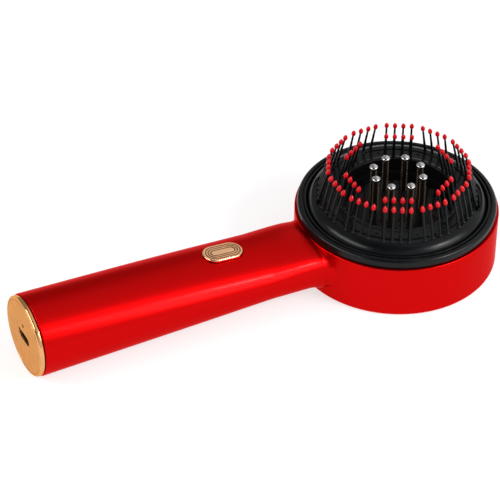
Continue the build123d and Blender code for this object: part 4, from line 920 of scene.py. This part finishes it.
def button():
    """Stadium cap with a rolled edge and engraved lines, on its flange and stem."""
    top = rounded([(0, -1.75, 0), (0, PROUD, 0.45), (9, PROUD, 0)], 8)[:-1]
    profile = [(0.0, -1.75)] + top[1:]
    floor_z = PROUD - ENGRAVED_DEPTH
    for inset in ENGRAVED:
        profile += [(inset - 0.10, PROUD), (inset, PROUD - 0.06), (inset + 0.05, floor_z),
                    (inset + 0.38, floor_z), (inset + 0.43, PROUD - 0.06), (inset + 0.53, PROUD)]
    profile += [(FACE_INSET, PROUD)]
    cap = stadium_sweep(BUTTON_L, BUTTON_W, profile, 32)
    flange = stadium_sweep(BUTTON_L + 1.4, BUTTON_W + 1.4,
                           [(0.1, -2.65), (0, -2.55), (0, -1.85), (0.1, -1.75)])
    stem = lathe([(0, -4.15), (1.9, -4.15), (2.0, -4.05), (2.0, -2.6), (0, -2.6)], 48)
    return joined([cap, flange, stem])


cap_button = solid("power_button_cap", placed(button(), button_matrix()))
button_gold = rose_gold("gold_button", (0.96, 0.54, 0.30), (1.0, 0.60, 0.35), (0.26, 0.34), 0.85)
finish_piece(cap_button, "gold_trim", "button", "power_button", angle=40,
             material=button_gold.material)
# painted shade: the engraved grooves get the gold darkened to 0.45 of its tone, for the shade in
# them; the rolled edge keeps its tone and is polished
for name, tone, rough in (("gold_groove_shade", 0.45, 0.3), ("gold_edge", 1.0, 0.1)):
    low, high = [[c * tone for c in gold] for gold in ((0.85, 0.48, 0.26), (0.95, 0.56, 0.32))]
    made = rose_gold(name, low, high, (rough, rough + 0.06))
    cap_button.data.materials.append(made.material)
SHADED_GROOVE, EDGE = 1, 2      # the two materials' places
to_button = button_matrix().inverted()
for face in cap_button.data.polygons:
    middle = to_button @ (face.center / MM)
    past_straight = max(0.0, abs(middle.x) - (BUTTON_L - BUTTON_W) / 2)
    inset = BUTTON_W / 2 - math.hypot(past_straight, middle.y)
    if middle.z > -1.0 and inset < 0.75:
        face.material_index = EDGE if inset < 0.45 else 0
    elif 0.5 < middle.z < 0.78:
        face.material_index = SHADED_GROOVE


# ---- End cap and its light ----

CAP_HALF = (17.13, 16.55)
CAP_Z = 16.94
PLUG_HALF = (15.03, 14.32)       # the collar that goes into the handle
LIGHT_Z = CAP_Z + 5.4
CAP_BACK = 166.85
CAP_FACE = 168.8


def ellipse_ring(half_w, half_h, inset, s, around=192):
    """Points round an ellipse across the handle at s."""
    turns = [2 * math.pi * k / around for k in range(around)]
    return [(-s, (half_w - inset) * math.cos(turn), CAP_Z + (half_h - inset) * math.sin(turn))
            for turn in turns]


def end_cap_collar():
    """Closed band round the handle's inside, through four elliptical rings."""
    profile = [(0, 161.05), (0, 166.9), (1.8, 166.9), (1.8, 161.05)]
    rings = [ellipse_ring(*PLUG_HALF, inset, s) for inset, s in profile]
    return [p for ring in rings for p in ring], rings_to_faces([len(ring) for ring in rings], True)


def rearwards(y, z):
    """A frame at the handle's end: local Z is s, local Y is up."""
    turn = Matrix(((0, 0, -1, 0), (-1, 0, 0, 0), (0, 1, 0, 0), (0, 0, 0, 1)))
    return Matrix.Translation((0, y, z)) @ turn


def end_cap():
    """Face with a rolled rim and a fine line inside it, the slot and the light's hole."""
    rim_roll = rounded([(0, CAP_BACK, 0.12), (0, CAP_FACE, 0.85), (1.25, CAP_FACE, 0.18),
                        (1.3, 168.62, 0.0)], 8)
    profile = [(3.0, CAP_BACK)] + rim_roll + [(1.45, 168.62), (1.55, 168.80), (1.72, 168.87)]
    cap = solid("end_cap_face", capped([ellipse_ring(*CAP_HALF, inset, s) for inset, s in profile]))
    slot = stadium_sweep(11.1, 4.0, [(0.15, 165.0), (0.15, 168.68), (0.10, 168.8),
                                     (0.0, 168.88), (0.0, 170.0)])
    hole = lathe([(0, 165.0), (0.75, 165.0), (0.75, 170.0), (0, 170.0)], 32)
    cutters = [placed(slot, rearwards(0, CAP_Z)), placed(hole, rearwards(0, LIGHT_Z))]
    carve(cap, solid("cutters", joined(cutters)), "DIFFERENCE")
    screw_boss = lathe([(0.83, 160.6), (1.9, 160.6), (1.9, 166.9), (0, 166.9), (0, 165.6),
                        (0.83, 165.6)], 32)
    parts = [end_cap_collar()] + [placed(screw_boss, rearwards(y, 11.74)) for y in (-8, 8)]
    add_mesh(cap, solid("end_cap_inner", joined(parts)))
    return cap


finish_piece(end_cap(), "gold_trim", "housing", "end_cap", angle=32, material=cap_gold())
pipe = lathe([(0, 161.55), (0.55, 161.55), (0.60, 161.6), (0.60, 167.2), (0.5, 167.35),
              (0.3, 167.45), (0, 167.5)], 24)
light_pipe = solid("charge_light_rod", placed(pipe, rearwards(0, LIGHT_Z)))
finish_piece(light_pipe, "clear_column", "housing", "charge_light_pipe", angle=50)


# ---- Window, columns and pins ----

COLUMNS = [about_z(45 * k) @ Matrix.Translation((10.52, 0, 0)) for k in range(8)]
LEDGE_R = 20.9           # from here outwards the window's black edge, painted shade in the gap at the well's wall


def window_lens():
    """Smoked disc with a bevelled edge, pierced by the columns."""
    outline = rounded([(0, 22.5, 0), (22.8, 22.5, 0.1), (22.8, 24.1, 0.15), (21.9, 25.0, 0.3),
                       (LEDGE_R, 25.0, 0), (0, 25.0, 0)], 5)
    disc = solid("window_lens_disc", lathe(outline, 128))
    hole = lathe([(0, 22.0), (1.35, 22.0), (1.35, 26.0), (0, 26.0)], 32)
    carve(disc, solid("holes", joined(placed(hole, at) for at in COLUMNS)), "DIFFERENCE")
    return disc


lens = finish_piece(window_lens(), "dark_window", "housing", "window_lens", angle=30)
# painted shade: the edge faces get a near-black matt finish for the shade in the gap round the
# window
lens.data.materials.append(moulded("window_shade_edge", *WINDOW_SHADE_EDGE))
for face in lens.data.polygons:
    if math.hypot(face.center.x, face.center.y) > LEDGE_R * MM:
        face.material_index = 1

tube_wall = lathe([(1.0, 18.0), (1.3, 18.0), (1.3, 40.6), (1.22, 40.75), (1.0, 40.75)], 40)
tubes = solid("light_column_tubes", joined(placed(tube_wall, at) for at in COLUMNS))
finish_piece(tubes, "clear_column", "housing", "light_columns", angle=40, material=clear_tube())

rod = lathe([(0, 16.0), (0.45, 16.0), (0.60, 16.15), (0.60, 17.9), (0.92, 18.2), (0.92, 40.5),
             (0.60, 40.7), (0.60, 41.15), (0.45, 41.3), (0, 41.3)], 32)
rods = solid("contact_pin_rods", joined(placed(rod, at) for at in COLUMNS))
finish_piece(rods, "brass_pin", "housing", "contact_pins", angle=50)


# ---- Stage, lights and camera ----

FLOOR_HALF = 6.0         # metres
FLOOR_DROP = 0.00002     # metres under the drum, so that the two faces don't flicker
FLOOR_TONE = 0.42
FLOOR_WHITE = (0.66, 0.95, 0.25, 1.3)     # added light near and far, then those distances

SKY_SIDE = math.radians(-25)
SKY_HORIZON = (0.04, 0.22, 1.0, 0.0)      # height above the horizon, then strength
SKY_ABOVE = (0.02, 0.21, 0.36, 0.86)      # leaning towards the pale side, then strength
SKY_DARK = (-0.36, -0.32, 0.876)          # middle of a dark gap overhead
SKY_DIM = (0.82, 0.94, 1.0, 0.03)         # leaning towards it, then the share that is left

# Azimuth, elevation, distance, width, height and radiance.
SOFTBOXES = {
    "softbox_right": (-52, 31.5, 0.95, 0.68, 0.41, 4.7),
    "softbox_right_core": (-54, 40, 0.90, 0.20, 0.10, 32.0),
    "softbox_left": (176, 33, 0.95, 0.80, 0.22, 9.5),
}
LIT_SPOT = Vector((-0.03, 0.0, 0.02))

CAMERA_AT = Vector((-0.4585, -0.7473, 0.7030))
CAMERA_TURN = [math.radians(angle) for angle in (-27.56, 38.81, 0.76)]    # and its roll
FOCAL_PX = 2661.26       # in the photo's frame of PHOTO_PX
PHOTO_PX = 500
SENSOR_MM = 36.0


def floor():
    """Pale floor that shows white and keeps the object's shadow."""
    h = FLOOR_HALF / MM
    corners = [(-h, -h, 0.0), (h, -h, 0.0), (h, h, 0.0), (-h, h, 0.0)]
    obj = mesh_object("floor", corners, [[0, 1, 2, 3]])
    obj.location.z = -FLOOR_DROP
    paint = Finish("floor_white")
    paint.set(Base_Color=(FLOOR_TONE, FLOOR_TONE, FLOOR_TONE, 1.0), Specular_IOR_Level=0.0,
              Emission_Color=(1, 1, 1, 1))
    paint.rough(paint.between(paint.noise(0.002), 0.85, 0.95))
    rays = paint.node("LightPath")
    seen = rays.outputs["Is Camera Ray"]
    for kind in ("Is Transmission Ray", "Is Glossy Ray"):
        either = paint.node("Math", operation="MAXIMUM")
        paint.link(seen, either.inputs[0])
        paint.link(rays.outputs[kind], either.inputs[1])
        seen = either.outputs[0]
    away = paint.node("VectorMath", operation="LENGTH")
    paint.link(paint.place, away.inputs[0])
    white = paint.node("Math", operation="MULTIPLY")
    paint.link(seen, white.inputs[0])
    paint.link(paint.between(away.outputs["Value"], *FLOOR_WHITE), white.inputs[1])
    paint.link(white.outputs[0], paint.shader.inputs["Emission Strength"])
    obj.data.materials.append(paint.material)
    obj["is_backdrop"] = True


def sky():
    """A white horizon, pale above one side and grey above the other, with a dark gap."""
    world = bpy.data.worlds.new("studio")
    scene.world = world
    world.use_nodes = True
    tree = world.node_tree
    back = tree.nodes["Background"]
    back.inputs["Color"].default_value = (1, 1, 1, 1)
    place = tree.nodes.new("ShaderNodeTexCoord").outputs["Generated"]

    def math_node(operation, first, second):
        made = tree.nodes.new("ShaderNodeMath")
        made.operation = operation
        tree.links.new(first, made.inputs[0])
        tree.links.new(second, made.inputs[1])
        return made.outputs[0]

    def strength(towards, numbers):
        """Strength by how far a ray leans towards a direction."""
        lean = tree.nodes.new("ShaderNodeVectorMath")
        lean.operation = "DOT_PRODUCT"
        lean.inputs[1].default_value = towards
        tree.links.new(place, lean.inputs[0])
        ranged = tree.nodes.new("ShaderNodeMapRange")
        ranged.interpolation_type = "SMOOTHSTEP"
        for key, number in zip(("From Min", "From Max", "To Min", "To Max"), numbers):
            ranged.inputs[key].default_value = number
        tree.links.new(lean.outputs["Value"], ranged.inputs["Value"])
        return ranged.outputs["Result"]

    horizon = strength((0, 0, 1), SKY_HORIZON)
    above = strength((math.cos(SKY_SIDE), math.sin(SKY_SIDE), 0), SKY_ABOVE)
    left = math_node("MULTIPLY", math_node("MAXIMUM", horizon, above), strength(SKY_DARK, SKY_DIM))
    tree.links.new(left, back.inputs["Strength"])


def softbox(name, azimuth, elevation, distance, width, height, radiance):
    lamp = bpy.data.lights.new(name, "AREA")
    lamp.shape = "RECTANGLE"
    lamp.size, lamp.size_y = width, height
    lamp.energy = radiance * math.pi * width * height
    obj = bpy.data.objects.new(name, lamp)
    scene.collection.objects.link(obj)
    a, e = math.radians(azimuth), math.radians(elevation)
    towards = Vector((math.cos(a) * math.cos(e), math.sin(a) * math.cos(e), math.sin(e)))
    obj.location = LIT_SPOT + towards * distance
    obj.rotation_euler = towards.to_track_quat("Z", "Y").to_euler()


def camera():
    azimuth, elevation, roll = CAMERA_TURN
    back = Vector((math.sin(azimuth) * math.cos(elevation),
                   -math.cos(azimuth) * math.cos(elevation), math.sin(elevation)))
    side = Vector((math.cos(azimuth), math.sin(azimuth), 0))
    up = back.cross(side)
    right = side * math.cos(roll) + up * math.sin(roll)
    top = -side * math.sin(roll) + up * math.cos(roll)
    made = bpy.data.cameras.new("camera")
    made.sensor_width = SENSOR_MM
    made.lens = FOCAL_PX * SENSOR_MM / PHOTO_PX
    made.clip_start, made.clip_end = 0.05, 30.0
    obj = bpy.data.objects.new("camera", made)
    scene.collection.objects.link(obj)
    place = Matrix((right, top, back)).transposed().to_4x4()
    place.translation = CAMERA_AT
    obj.matrix_world = place
    scene.camera = obj


floor()
sky()
for name, values in SOFTBOXES.items():
    softbox(name, *values)
camera()
scene.view_settings.view_transform = "Standard"

low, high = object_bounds()
